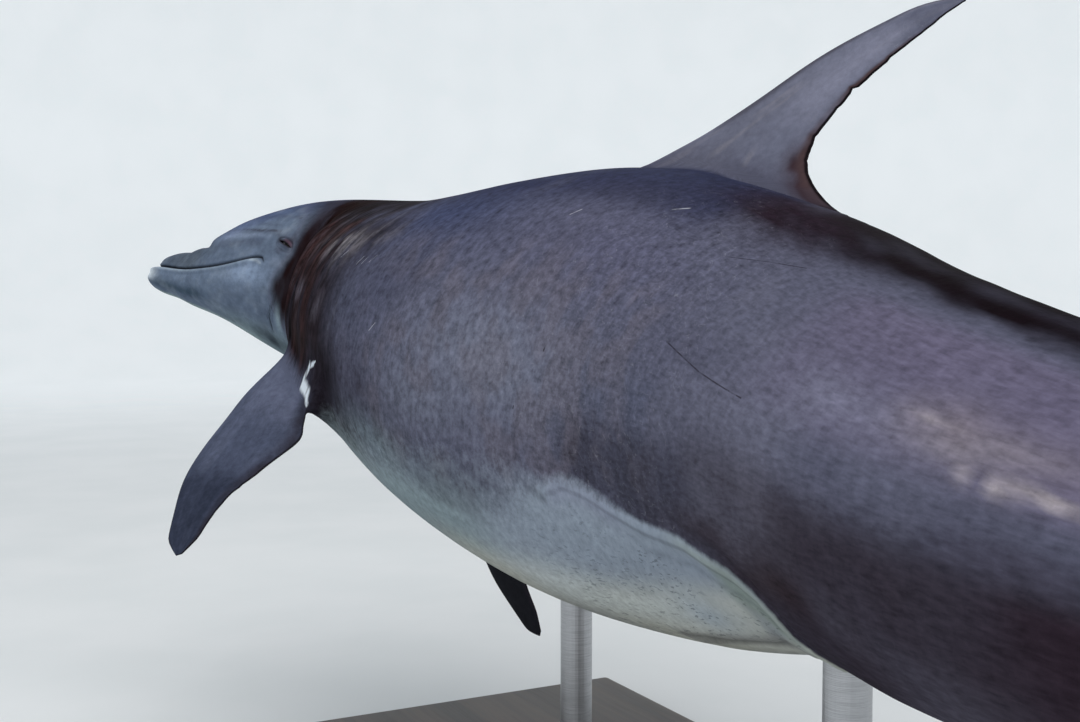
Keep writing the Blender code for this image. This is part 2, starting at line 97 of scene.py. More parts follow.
DORSAL = dict(
    lead=[(0, 1.030, 0.225), (.10, 1.066, 0.250), (.22, 1.118, 0.281), (.36, 1.178, 0.311), (.50, 1.236, 0.341),
          (.63, 1.288, 0.369), (.76, 1.342, 0.392), (.88, 1.400, 0.411), (.96, 1.452, 0.421), (1, 1.492, 0.421)],
    trail=[(0, 1.470, 0.185), (.10, 1.415, 0.210), (.22, 1.368, 0.234), (.36, 1.343, 0.264), (.50, 1.349, 0.297),
           (.63, 1.372, 0.328), (.76, 1.404, 0.357), (.88, 1.440, 0.385), (.96, 1.472, 0.406), (1, 1.492, 0.417)],
    thick=[(0, .085), (.15, .105), (.4, .115), (.7, .12), (1, .13)], at=1.28)
FLIPPER = dict(
    lead=[(0, -.079, .047), (.10, -.037, .061), (.20, .011, .077), (.33, .075, .083), (.44, .126, .085),
          (.56, .182, .082), (.69, .234, .070), (.81, .284, .051), (.90, .326, .034), (.96, .350, .019), (1, .374, -.004)],
    trail=[(0, .079, -.047), (.10, .100, -.055), (.20, .124, -.063), (.33, .158, -.071), (.44, .190, -.055),
           (.56, .224, -.038), (.69, .256, -.021), (.81, .290, -.015), (.90, .322, -.016), (.96, .348, -.016), (1, .372, -.008)],
    thick=[(0, .30), (.15, .24), (.33, .17), (.6, .14), (1, .14)], at=0.61)
FLIPPER_ROOT = (0.151, 0.665, -0.156)
FLIPPER_SPAN = (0.472, 0.709, -0.524)
FLIPPER_CHORD = (0.474, -0.705, -0.527)
RIGHT_TURN = (13.0, -18.5, -19.0)
RIGHT_SHIFT = -0.017
FLUKE = dict(
    lead=[(0, 2.290, 0.000), (.10, 2.302, 0.034), (.22, 2.322, 0.075), (.36, 2.348, 0.122), (.50, 2.376, 0.168),
          (.63, 2.404, 0.208), (.76, 2.436, 0.244), (.88, 2.470, 0.272), (.96, 2.500, 0.287), (1, 2.528, 0.294)],
    trail=[(0, 2.474, 0.000), (.10, 2.482, 0.018), (.22, 2.500, 0.052), (.36, 2.508, 0.098), (.50, 2.508, 0.146),
           (.63, 2.507, 0.190), (.76, 2.509, 0.230), (.88, 2.517, 0.262), (.96, 2.526, 0.283), (1, 2.532, 0.292)],
    thick=[(0, .13), (.2, .12), (.5, .11), (1, .12)], at=2.38)


def spline(xs, ys):
    """Natural cubic through the named stations."""
    xs, ys = np.asarray(xs, float), np.asarray(ys, float)
    n = len(xs)
    h = np.diff(xs)
    a = np.zeros((n, n))
    b = np.zeros(n)
    a[0, 0] = a[-1, -1] = 1.0
    for i in range(1, n - 1):
        a[i, i - 1], a[i, i], a[i, i + 1] = h[i - 1], 2 * (h[i - 1] + h[i]), h[i]
        b[i] = 6 * ((ys[i + 1] - ys[i]) / h[i] - (ys[i] - ys[i - 1]) / h[i - 1])
    m = np.linalg.solve(a, b)

    def at(x):
        x = np.clip(np.asarray(x, float), xs[0], xs[-1])
        i = np.clip(np.searchsorted(xs, x, side="right") - 1, 0, n - 2)
        t, hh = x - xs[i], h[i]
        r = xs[i + 1] - x
        return (m[i] * r**3 + m[i + 1] * t**3) / (6 * hh) + (ys[i] / hh - m[i] * hh / 6) * r + (ys[i + 1] / hh - m[i + 1] * hh / 6) * t

    return at


def table(rows, k):
    return spline([r[0] for r in rows], [r[k] for r in rows])


def smooth(x, a, b):
    t = np.clip((np.asarray(x, float) - a) / (b - a), 0, 1)
    return t * t * t * (t * (6 * t - 15) + 10)


BODY = [table(LINES, k) for k in range(1, 7)]


def section(u, theta):
    top, bot, w, zw, nt, nb = (g(u) for g in BODY)
    s, c = np.sin(theta), np.cos(theta)
    n = np.where(c >= 0, nt, nb)
    k = (np.abs(s) ** n + np.abs(c) ** n) ** (-1 / n)
    h = np.where(c >= 0, top - zw, zw - bot)
    return k * w * s, zw + k * h * c


def rot(yaw, pitch, roll):
    cy, sy = np.cos(yaw), np.sin(yaw)
    cp, sp = np.cos(pitch), np.sin(pitch)
    cr, sr = np.cos(roll), np.sin(roll)
    z, o = np.zeros_like(cy), np.ones_like(cy)
    m = lambda *r: np.stack([np.stack(q, -1) for q in r], -2)
    return m((cy, -sy, z), (sy, cy, z), (z, z, o)) @ m((o, z, z), (z, cp, -sp), (z, sp, cp)) @ m((cr, z, sr), (z, o, z), (-sr, z, cr))


def angles(u):
    p = POSE
    neck = 1 - smooth(u, p["neck_a"], p["neck_b"])
    front = 1 - smooth(u, 0.50, U_REF)
    rear = smooth(u, U_REF, 1.75)
    tail = smooth(u, p["tail_a"], p["tail_b"])
    yaw = p["neck_yaw"] * neck + p["front_yaw"] * front + p["rear_yaw"] * rear + p["tail_yaw"] * tail
    pitch = p["neck_pitch"] * neck + p["front_pitch"] * front + p["rear_pitch"] * rear + p["tail_pitch"] * tail
    return np.radians(yaw), np.radians(pitch), np.radians(p["neck_roll"] * neck)


US = np.linspace(-0.1, LENGTH + 0.1, 1301)
RS = rot(*angles(US))
STEP = US[1] - US[0]
AXIS = np.concatenate([np.zeros((1, 3)), np.cumsum((RS[1:, :, 1] + RS[:-1, :, 1]) / 2 * STEP, 0)])
AXIS = AXIS - np.array([np.interp(U_REF, US, AXIS[:, k]) for k in range(3)])


def spine(u):
    x = (np.clip(np.asarray(u, float), US[0], US[-1] - 1e-9) - US[0]) / STEP
    i = np.clip(x.astype(int), 0, len(US) - 2)
    k = (x - i)[..., None]
    return AXIS[i] * (1 - k) + AXIS[i + 1] * k, RS[i] * (1 - k[..., None]) + RS[i + 1] * k[..., None]


def bend(p):
    """Points of the straight frame, bent along the spine."""
    c, r = spine(p[..., 1])
    return c + p[..., 0:1] * r[..., :, 0] + p[..., 2:3] * r[..., :, 2]


def rigid(p, at):
    """Points carried whole by the spine at one station, as a stiff fin is."""
    c, r = spine(np.array(float(at)))
    return c + (p - np.array([0, at, 0])) @ r.T


def turn(w):
    w = np.radians(np.asarray(w, float))
    a = np.linalg.norm(w)
    if a < 1e-12:
        return np.eye(3)
    k = w / a
    m = np.array([[0, -k[2], k[1]], [k[2], 0, -k[0]], [-k[1], k[0], 0]])
    return np.eye(3) + math.sin(a) * m + (1 - math.cos(a)) * m @ m


def foil(s):
    s = np.clip(s, 0, 1)
    return 5 * (0.2969 * np.sqrt(s) - 0.126 * s - 0.3516 * s**2 + 0.2843 * s**3 - 0.1036 * s**4)


def blade(fin, ts, side, ragged=None, edge=0.0008):
    """Closed loops of a fin, in its own plane: along, out, across. ragged draws in the trailing edge."""
    la, lo, ta, to = (table(fin[e], k)(ts) for e, k in (("lead", 1), ("lead", 2), ("trail", 1), ("trail", 2)))
    th = table(fin["thick"], 1)(ts)
    s = np.concatenate([side, side[-2:0:-1]])
    sign = np.concatenate([np.ones(len(side)), -np.ones(len(side) - 2)])
    sign[0] = sign[len(side) - 1] = 0.0
    chord = np.hypot(ta - la, to - lo)
    pull = np.zeros((len(ts), len(s)))
    if ragged is not None:
        pull = (ragged(ts) / np.maximum(chord, 0.004))[:, None] * smooth(s, 0.80, 1.0)
    a = la[:, None] + (ta - la)[:, None] * (s - pull)
    o = lo[:, None] + (to - lo)[:, None] * (s - pull)
    return np.stack([a, o, sign * np.maximum(foil(s) * (th * chord)[:, None], edge)], -1)


def place_dorsal(q, ts):
    p = np.stack([q[..., 2], q[..., 0], q[..., 1]], -1)
    k = smooth(p[..., 2] - BODY[0](p[..., 1]), 0.0, 0.06)[..., None]
    return bend(p) * (1 - k) + rigid(p, DORSAL["at"]) * k


def place_flipper(q, side, ts):
    s = np.array(FLIPPER_SPAN) / np.linalg.norm(FLIPPER_SPAN)
    c = np.array(FLIPPER_CHORD) - s * (np.array(FLIPPER_CHORD) @ s)
    c /= np.linalg.norm(c)
    b = np.stack([s, c, np.cross(s, c)], 1)
    root = np.array(FLIPPER_ROOT) + np.array([0, RIGHT_SHIFT if side < 0 else 0, 0])
    rows = []
    for loop, t in zip(q, ts):
        m = b @ turn(np.array(RIGHT_TURN) * smooth(t, -0.02, 0.40)) if side < 0 else b
        rows.append(root + loop @ m.T)
    p = np.array(rows) * np.array([side, 1, 1])
    k = smooth(q[..., 0] * 0.8 - q[..., 1] * 0.3, -0.02, 0.08)[..., None]
    return bend(p) * (1 - k) + rigid(p, FLIPPER["at"]) * k


def place_fluke(q, side):
    p = np.stack([q[..., 1] * side, q[..., 0], q[..., 2]], -1)
    k = smooth(q[..., 1], 0.02, 0.08)[..., None]
    return bend(p) * (1 - k) + rigid(p, FLUKE["at"]) * k


def world_axes():
    z = np.array(UP) / np.linalg.norm(UP)
    d = bend(np.array([[0, 2.45, 0.0]]))[0] - bend(np.array([[0, 0.0, -0.056]]))[0]
    y = d - z * (d @ z)
    y /= np.linalg.norm(y)
    return np.stack([np.cross(y, z), y, z])


WORLD = world_axes()


def to_world(p):
    return p @ WORLD.T - ORIGIN


# ================================================================== small tools
def bell(d, s):
    return np.exp(-(np.asarray(d) / s) ** 2)


def hashed(i, j, k, seed):
    n = (i * 374761393 + j * 668265263 + k * 2147483647 + seed * 1274126177) & 0xFFFFFFFF
    n = ((n ^ (n >> 13)) * 1274126177) & 0xFFFFFFFF
    n = ((n ^ (n >> 16)) * 2246822519) & 0xFFFFFFFF
    return ((n ^ (n >> 15)) & 0xFFFFFF) / float(0xFFFFFF)


def noise(p, seed=0, octaves=3):
    """Smooth value noise of points (…, 3), about -1 to 1."""
    total, size, whole = 0.0, 1.0, 0.0
    for o in range(octaves):
        q = p * 2**o
        i = np.floor(q).astype(np.int64)
        f = q - i
        f = f * f * (3 - 2 * f)
        v = 0.0
        for a in (0, 1):
            for b in (0, 1):
                for c in (0, 1):
                    w = np.where(a, f[..., 0], 1 - f[..., 0]) * np.where(b, f[..., 1], 1 - f[..., 1]) * np.where(c, f[..., 2], 1 - f[..., 2])
                    v = v + w * hashed(i[..., 0] + a, i[..., 1] + b, i[..., 2] + c, seed + o)
        total, whole = total + size * (2 * v - 1), whole + size
        size *= 0.5
    return total / whole


def srgb(*rgb):
    c = np.array(rgb, float) / 255
    return np.where(c <= 0.04045, c / 12.92, ((c + 0.055) / 1.055) ** 2.4)


def radius(u):
    """Mean radius of the ring at a station."""
    top, bot, w = BODY[0](u), BODY[1](u), BODY[2](u)
    return (w + (top - bot) / 2) / 2


def chart(u, degrees):
    """Station and arc from the top, in metres: where markings are placed."""
    return np.stack([u, radius(u) * np.radians(degrees)], -1)


def line_distance(p, points, closed=False):
    """Distance of chart points to a line through (station, degrees) points."""
    pts = np.array([chart(np.array(u), np.array(d)) for u, d in points])
    if closed:
        pts = np.concatenate([pts, pts[:1]])
    best = np.full(p.shape[:-1], 1e9)
    for a, b in zip(pts[:-1], pts[1:]):
        ab = b - a
        t = np.clip(((p - a) @ ab) / max(ab @ ab, 1e-12), 0, 1)
        best = np.minimum(best, np.linalg.norm(p - a - t[..., None] * ab, axis=-1))
    return best


def inside(p, points):
    """Whether chart points lie in the closed line through (station, degrees) points."""
    pts = np.array([chart(np.array(u), np.array(d)) for u, d in points])
    odd = np.zeros(p.shape[:-1], bool)
    for (ax, ay), (bx, by) in zip(pts, np.roll(pts, -1, 0)):
        crosses = ((ay > p[..., 1]) != (by > p[..., 1])) & (p[..., 0] < (bx - ax) * (p[..., 1] - ay) / (by - ay + 1e-15) + ax)
        odd ^= crosses
    return odd


def region(p, points):
    """Signed distance to a region's edge, positive inside."""
    d = line_distance(p, points, closed=True)
    return np.where(inside(p, points), d, -d)


# ================================================================== the body's surface
TIP = 0.020
mouth_at = spline([m[0] for m in MOUTH], [m[1] for m in MOUTH])


def mouth_angle(u):
    """Angle of the mouth line at a station; behind the gape it runs on, straight."""
    v = np.clip(u, 0.014, 0.330)
    top, bot, w, zw, nt, nb = (g(v) for g in BODY)
    dz = mouth_at(v) - zw
    n = np.where(dz >= 0, nt, nb)
    h = np.where(dz >= 0, top - zw, zw - bot)
    r = np.abs(dz) / h
    a = np.arctan(np.maximum(np.maximum(1 / np.maximum(r, 1e-4), 1.0) ** n - 1, 0) ** (1 / n))
    return np.where(dz >= 0, a, math.pi - a)


# the pale underside: its edge is soft in front and sharp behind
BELLY_EDGE = [(0.600, 152), (0.700, 143), (0.790, 140), (0.860, 138), (0.982, 134), (1.099, 131), (1.195, 128), (1.283, 127), (1.378, 123),
              (1.430, 120), (1.477, 121), (1.539, 125), (1.600, 129), (1.677, 132), (1.711, 136), (1.759, 140), (1.789, 146), (1.802, 154),
              (1.804, 163), (1.812, 172), (1.830, 181)]
BELLY = BELLY_EDGE + [(1.830, 200), (1.70, 230), (1.40, 230), (1.10, 230), (0.80, 230), (0.55, 230), (0.40, 230), (0.36, 190), (0.44, 156)]
# edge of the dark cheek in front of the neck fold: partly the skin's colour, partly painted shadow of the shoulder
CHEEK_DARK_AND_SHADOW = [(0.352, 30), (0.368, 41), (0.391, 62), (0.403, 77), (0.402, 86), (0.384, 95), (0.362, 103), (0.360, 109), (0.376, 116), (0.394, 122),
              (0.421, 130), (0.440, 139), (0.470, 150), (0.62, 152), (0.72, 100), (0.68, 40), (0.62, 10)]
CREASE = [(0.128, 0), (0.136, 25), (0.156, 45), (0.189, 65), (0.213, 71), (0.241, 77)]
THROAT_FOLDS = [([(0.374, 112), (0.366, 118), (0.357, 123), (0.353, 129), (0.357, 137)], 0.0020, 1.0), ([(0.368, 113), (0.360, 119), (0.351, 124), (0.348, 129)], 0.0013, 0.7),
                ([(0.379, 115), (0.372, 120), (0.364, 126), (0.360, 131)], 0.0013, 0.6), ([(0.346, 102), (0.337, 110), (0.331, 120), (0.331, 133), (0.345, 146)], 0.0038, 0.5)]
GAPE_FOLD = [(0.314, 84.5), (0.3190, 85.8), (0.3225, 87.6)]
SLIT = [(1.500, 174.5), (1.600, 177), (1.700, 177), (1.765, 172)]


def relief(u, th):
    """Height of the skin over the solids, in metres."""
    a = np.degrees(np.abs(th))
    left = smooth(th, -0.05, 0.05)
    r = radius(u)
    c = chart(u, a)
    x, z = section(u, th)
    p = np.stack([x, u, z], -1)
    # the mouth: a narrow groove between two lips
    d = r * (np.abs(th) - mouth_angle(u))
    gape = 1 - smooth(u, 0.307, 0.321)
    h = -0.0048 * bell(d, 0.0014) * gape
    h += 0.0010 * bell(d + 0.0042, 0.0030) * gape * smooth(u, 0.004, 0.03)
    h += 0.0015 * bell(d - 0.0044, 0.0034) * gape * smooth(u, 0.004, 0.03)
    h -= 0.0013 * bell(d - 0.0110, 0.0040) * gape * smooth(u, 0.03, 0.10)
    h -= 0.0016 * bell(line_distance(c, GAPE_FOLD), 0.0020)
    # where the snout meets the forehead
    fade = 1 - smooth(a, 52, 79)
    h -= (0.0006 + 0.0032 * fade) * bell(line_distance(c, CREASE), 0.0050)
    h += 0.0022 * fade * bell(line_distance(c, [(s + 0.018, t) for s, t in CREASE]), 0.012)
    # the height of the ridge behind the fin
    h += 0.0050 * bell((u - 1.72) / 0.26, 1) * (1 - smooth(a, 8, 36))
    # the forehead's fullness, and the blunt end of the lower jaw
    h += 0.0046 * bell((u - 0.205) / 0.045, 1) * (1 - smooth(a, 34, 74))
    h += 0.0056 * bell((u - 0.034) / 0.034, 1) * smooth(a, 96, 132)
    h += 0.0040 * bell((u - 0.042) / 0.036, 1) * (1 - smooth(a, 30, 66)) + 0.0044 * bell((u - 0.119) / 0.022, 1) * (1 - smooth(a, 40, 74))
    # brow, cheek and jaw
    h += 0.0030 * bell((u - 0.372) / 0.040, 1) * bell(r * np.radians(a - 70) / 0.022, 1)
    h -= 0.0016 * bell((u - 0.318) / 0.022, 1) * bell(r * np.radians(a - 77) / 0.014, 1)
    h += 0.0032 * bell((u - 0.290) / 0.050, 1) * bell(r * np.radians(a - 104) / 0.030, 1)
    # blowhole: a crescent, its ends forward
    side = r * th
    hole = u - (0.368 - 0.010 * (side / 0.014) ** 2)
    within = 1 - smooth(np.abs(side), 0.012, 0.018)
    h += 0.0016 * bell(np.hypot(u - 0.366, side), 0.016) - 0.0052 * bell(hole, 0.0030) * within
    # folds of the throat, most on the side that the head turns to
    for line, width, depth in THROAT_FOLDS:
        gap = line_distance(c, line)
        h -= 0.0016 * depth * (bell(gap, width * 1.3) - 0.4 * bell(gap, width * 3)) * (0.25 + 0.75 * left)
    # the neck folds behind the head, and the shoulder stands over it
    span = smooth(a, 44, 84) * (1 - smooth(a, 138, 172)) * left
    fold = 0.462 + 0.012 * np.sin(np.radians(a - 90) * 1.4)
    behind = u > fold
    h -= 0.0150 * span * np.where(behind, bell(u - fold, 0.020), bell(u - fold, 0.038))
    h += 0.0085 * span * bell(u - fold - 0.062, 0.034)
    h -= 0.0030 * span * bell(u - fold + 0.036 - 0.01 * np.sin(a / 9), 0.0065)
    h -= 0.0020 * span * bell(u - fold - 0.030 + 0.008 * np.sin(a / 11 + 1), 0.006)
    strip = smooth(u, 0.40, 0.47) * (1 - smooth(u, 0.58, 0.80)) * smooth(a, 20, 50) * (1 - smooth(a, 150, 172)) * (0.35 + 0.65 * left)
    h += 0.0011 * strip * noise(p * np.array([14, 62, 14]) + 7.0, 3, 3)
    # shoulder, flank and the sag of the skin
    calm = smooth(u, 0.50, 0.75) * (1 - smooth(u, 2.15, 2.35))
    h += 0.0024 * calm * noise(p * np.array([4.2, 3.0, 4.2]), 11, 2) + 0.0005 * calm * noise(p * np.array([22, 12, 22]), 5, 2)
    h -= 0.0040 * bell((u - 0.80) / 0.09, 1) * bell((a - 122) / 15, 1)
    # edge of the underside, and the folds in it
    e = region(c, BELLY)
    crisp = smooth(u, 1.30, 1.44) * (1 - smooth(u, 1.82, 1.86))
    h += crisp * (0.0024 * bell(e - 0.005, 0.008) - 0.0022 * bell(e + 0.007, 0.008))
    slit = line_distance(c, SLIT) + 10.0 * (th < 0)
    h += -0.0042 * bell(slit, 0.0045) + 0.0022 * bell(slit - 0.012, 0.008)
    h -= 0.0026 * bell(line_distance(c, [(1.796, 176), (1.812, 184)]), 0.010)
    h -= 0.0024 * bell(line_distance(c, [(1.192, 178), (1.206, 182)]), 0.009)
    return h


def straight_point(u, th, with_relief=True):
    """A point of the skin in the straight frame."""
    u, th = np.broadcast_arrays(np.asarray(u, float), np.asarray(th, float))

    def plain(uu, tt):
        x, z = section(np.maximum(uu, 0.0), tt)
        s = np.clip(uu / TIP, 0, 1)
        k = np.sqrt(np.maximum(1 - (1 - s) ** 2, 0))
        zc = -0.0485 + (-0.056 + 0.0485) * smooth(uu, 0.0, TIP)
        return np.stack([x * k, uu, zc + (z + 0.056) * k], -1) * (uu < TIP)[..., None] + np.stack([x, uu, z], -1) * (uu >= TIP)[..., None]

    p = plain(u, th)
    e = 2e-4
    du = plain(np.minimum(u + e, BODY_END), th) - plain(np.maximum(u - e, 1e-6), th)
    dt = plain(u, th + 2e-3) - plain(u, th - 2e-3)
    n = np.cross(dt, du)
    n /= np.maximum(np.linalg.norm(n, axis=-1, keepdims=True), 1e-12)
    if with_relief:
        p = p + n * relief(u, th)[..., None]
    # the lower jaw runs a little past the upper one
    below = smooth(radius(u) * (np.abs(th) - mouth_angle(u)), 0.000, 0.006)
    ahead = 1 - smooth(u, 0.0, 0.16)
    shift = (0.0135 * below + 0.0285 * (1 - below)) * ahead
    # its end is round: the foremost point lies under the lip
    end = 1 - np.sqrt(np.maximum(1 - (1 - np.clip(u / 0.032, 0, 1)) ** 2, 0))
    drop = 0.0165 * below * end * (1 - 0.62 * smooth(np.degrees(np.abs(th)), 118, 160))
    return p + np.stack([np.zeros_like(shift), shift, -drop], -1)


def posed(u, th):
    return bend(straight_point(u, th))


# ================================================================== the grid of the body
N = 168
HALF = N // 2
MOUTH_ROW = 46


def row_angles(u):
    """Angles of the rows, top to bottom, at each station: close together by the mouth and the eye."""
    u = np.asarray(u, float)[:, None]
    r = np.arange(HALF + 1)[None, :]
    tm = mouth_angle(u)
    y = 1 - r / MOUTH_ROW
    upper = tm * (1 - (0.34 * y + 0.66 * np.abs(y) ** 1.7 * np.sign(y)))
    y = (r - MOUTH_ROW) / (HALF - MOUTH_ROW)
    lower = tm + (math.pi - tm) * (0.27 * y + 0.73 * np.abs(y) ** 1.9)
    head = np.where(r <= MOUTH_ROW, upper, lower)
    k = smooth(u, 0.40, 0.545)
    return head * (1 - k) + math.pi * r / HALF * k


def stations():
    pieces = [(0.0004, 0.0008), (0.003, 0.0012), (0.010, 0.0022), (0.030, 0.0034), (0.325, 0.0034), (0.335, 0.0020), (0.392, 0.0020),
              (0.405, 0.0036), (0.62, 0.0046), (0.70, 0.0100), (1.36, 0.0100), (1.42, 0.0064), (1.83, 0.0064), (1.90, 0.0115), (2.22, 0.0115),
              (2.27, 0.0075), (2.44, 0.0072), (2.470, 0.0040), (BODY_END, 0.0040)]
    xs, ds = zip(*pieces)
    out = [xs[0]]
    while out[-1] < BODY_END:
        out.append(out[-1] + float(np.interp(out[-1], xs, ds)))
    out = np.array(out)
    return out[0] + (out - out[0]) * (BODY_END - out[0]) / (out[-1] - out[0])


RINGS = stations()
ROWS = row_angles(RINGS)                                   # rings x (HALF + 1)
THETA = np.concatenate([-ROWS[:, ::-1], ROWS[:, 1:]], 1)   # columns from the belly, up the right side, down the left
U_GRID = np.repeat(RINGS[:, None], N + 1, 1)


def chart_uv(u, column):
    """The body's place on its texture map: the head gets a third of the length."""
    x = np.where(u < 0.46, u / 0.46 * 0.325, 0.325 + (u - 0.46) / (BODY_END - 0.46) * 0.665)
    return np.stack([0.005 + x, 0.006 + column / N * 0.688], -1)


class Skin:
    """Collects points, their properties and the faces of the skin."""

    def __init__(self):
        self.blocks, self.count, self.faces, self.uvs = [], 0, [], []

    def add(self, pos, **props):
        n = len(pos)
        self.blocks.append((pos, props))
        index = np.arange(self.count, self.count + n)
        self.count += n
        return index

    def quads(self, index, uv, keep=None, uv_by_face=None):
        """Faces of a grid of point numbers, facing out where rows run back and columns run left."""
        f = np.stack([index[:-1, :-1], index[:-1, 1:], index[1:, 1:], index[1:, :-1]], -1)
        t = uv_by_face if uv_by_face is not None else np.stack([uv[:-1, :-1], uv[:-1, 1:], uv[1:, 1:], uv[1:, :-1]], -2)
        mask = np.ones(f.shape[:2], bool) if keep is None else keep
        self.faces.extend(map(tuple, f[mask].tolist()))
        self.uvs.append(t[mask].reshape(-1, 2))

    def fan(self, ring, uv, centre, centre_uv, flip=False):
        """Triangles from a closed ring (its last point repeats the first) to a middle point."""
        a, b = ring[:-1], ring[1:]
        ua, ub = uv[:-1], uv[1:]
        if flip:
            a, b, ua, ub = b, a, ub, ua
        for i in range(len(a)):
            self.faces.append((int(a[i]), int(b[i]), int(centre)))
            self.uvs.append(np.array([ua[i], ub[i], centre_uv]))


# ================================================================== colours
FLANK, BROWN, FACE_DARK, LINE_DARK = srgb(84, 85, 102), srgb(38, 27, 31), srgb(62, 62, 74), srgb(18, 13, 15)
FLIPPER_DARK, FIN_EDGE = srgb(44, 42, 48), srgb(24, 19, 22)


def mix(a, b, w):
    w = np.asarray(w, float)[..., None]
    return a * (1 - w) + b * w


def patch(u, a, u0, a0, su, sa):
    return np.exp(-(((u - u0) / su) ** 2) - ((a - a0) / sa) ** 2)


def body_look(u, th, p):
    """Colours and masks of the body: upper colour, lower colour, distance past the lower one's edge, and so on."""
    a = np.degrees(np.abs(th))
    c = chart(u, a)
    left = (th > 0).astype(float)
    side = smooth(th, -0.7, 0.1)
    r = radius(u)
    one = np.ones_like(u)
    big = noise(p * 4.2, 21, 3)
    mid = noise(p * 15.0, 22, 3)
    fine = noise(p * 62.0, 25, 3)
    cloud = noise(p * np.array([9.0, 6.0, 9.0]) + 2.0, 28, 3)
    streak = noise(np.stack([u * 46, r * th * 20, 0 * u], -1), 23, 3)     # runs round the body
    fringe = noise(np.stack([u * 30, r * th * 9, 0 * u + 4], -1), 27, 3)
    dash = noise(np.stack([u * 9, r * th * 55, 0 * u + 8], -1), 24, 2)    # runs along it

    # ---- back and flanks
    up = np.broadcast_to(FLANK, u.shape + (3,)).copy()
    paint = lambda colour, w: mix(up, srgb(*colour), np.clip(w, 0, 1))
    up = paint((58, 64, 90), 0.97 * patch(u, a, 0.94, 52, 0.20, 20))
    up = paint((44, 48, 72), 0.94 * (1 - smooth(a, 32, 56)) * smooth(u, 0.72, 0.92) * (1 - smooth(u, 1.38, 1.50)))
    up = paint((107, 110, 126), (0.95 + 0.5 * cloud) * patch(u, a, 1.24, 97, 0.21, 15))
    up = paint((100, 103, 118), 0.75 * patch(u, a, 1.10, 112, 0.10, 8))
    up = paint((84, 84, 105), 0.7 * patch(u, a, 1.34, 60, 0.20, 16))
    # darker lower flank: partly the skin's tone, partly painted shade of light that falls from above
    up = paint((62, 62, 75), (0.95 + 0.5 * mid) * smooth(a, 98 + 5 * cloud, 112) * smooth(u, 1.36, 1.50))
    up = paint((76, 80, 98), 0.6 * patch(u, a, 1.58, 97, 0.12, 8))
    up = paint((92, 93, 112), (0.55 + 0.6 * cloud) * patch(u, a, 1.76, 79, 0.13, 10))
    up = paint((97, 91, 112), (0.75 + 0.5 * cloud) * smooth(u, 1.70, 1.88) * smooth(a, 26, 42) * (1 - smooth(a, 76, 92)))
    up = paint((110, 109, 129), (0.85 + 0.6 * mid) * patch(u, a, 1.93, 74, 0.075, 8))
    edge_low = 102 + 6 * np.sin((u - 1.80) * 9) + 2.5 * mid
    # darker lower flank towards the tail: partly the skin's tone, partly painted shade of light from above
    up = paint((52, 47, 56), (0.96 + 0.3 * mid) * smooth(a, edge_low - 17, edge_low + 11) * smooth(u, 1.62, 1.88))
    up = paint((40, 28, 30), (0.95 + 0.5 * mid) * patch(u, a, 1.825, 138, 0.060, 8))
    up = paint((44, 33, 37), 0.6 * patch(u, a, 1.74, 128, 0.08, 6))
    up = paint((42, 32, 40), (0.85 + 0.5 * cloud) * smooth(u, 2.02, 2.12) * smooth(a, 103, 116))
    up = paint((56, 52, 64), 0.55 * patch(u, a, 2.085, 99, 0.060, 7))
    # painted highlights: pale pink blotches of sheen high on the rear flank
    up = paint((132, 126, 136), 0.60 * patch(u, a, 2.020, 75, 0.030, 4) + 0.45 * patch(u, a, 2.053, 70, 0.035, 4))
    up = paint((122, 112, 120), (0.55 + 1.0 * mid) * patch(u, a, 2.035, 69, 0.075, 9))
    up = paint((172, 163, 166), np.clip(1 + 2.2 * fine, 0, 1) * (0.55 * patch(u, a, 1.995, 68.5, 0.018, 1.6) + 1.9 * patch(u, a, 2.0530, 80.4, 0.016, 2.6)
                                                                  + 1.1 * patch(u, a, 2.096, 80.2, 0.011, 1.6) + 0.7 * patch(u, a, 2.078, 78.4, 0.008, 1.2)))
    up = paint((76, 76, 92), 0.85 * cloud - 0.18)
    up = paint((112, 112, 128), (-0.75 * cloud - 0.22) * smooth(u, 0.9, 1.1))
    up = paint((99, 93, 102), np.clip(1.5 * noise(p * 26.0, 41, 3) + 0.10, 0, 0.34) * smooth(u, 0.80, 1.00) * (1 - smooth(u, 1.45, 1.75)) * smooth(a, 56, 76))
    up = paint((52, 52, 68), 0.30 * patch(u, a, 0.985, 82, 0.070, 8) + 0.45 * patch(u, a, 1.26, 37, 0.14, 8) + 0.30 * patch(u, a, 1.68, 76, 0.08, 6))
    # the ridge behind the fin, and the fin's rear base
    ridge = 1 - smooth(a, 13 + 6 * dash, 36 + 8 * dash)
    up = paint((17, 9, 14), (0.97 + 0.2 * dash) * ridge * smooth(u, 1.42, 1.54))
    up = paint((36, 27, 36), (0.9 + 0.8 * dash) * patch(u, a, 1.52, 24, 0.13, 12))
    up = paint((36, 25, 33), (0.9 + 0.9 * mid) * patch(u, a, 1.43, 17, 0.075, 9))
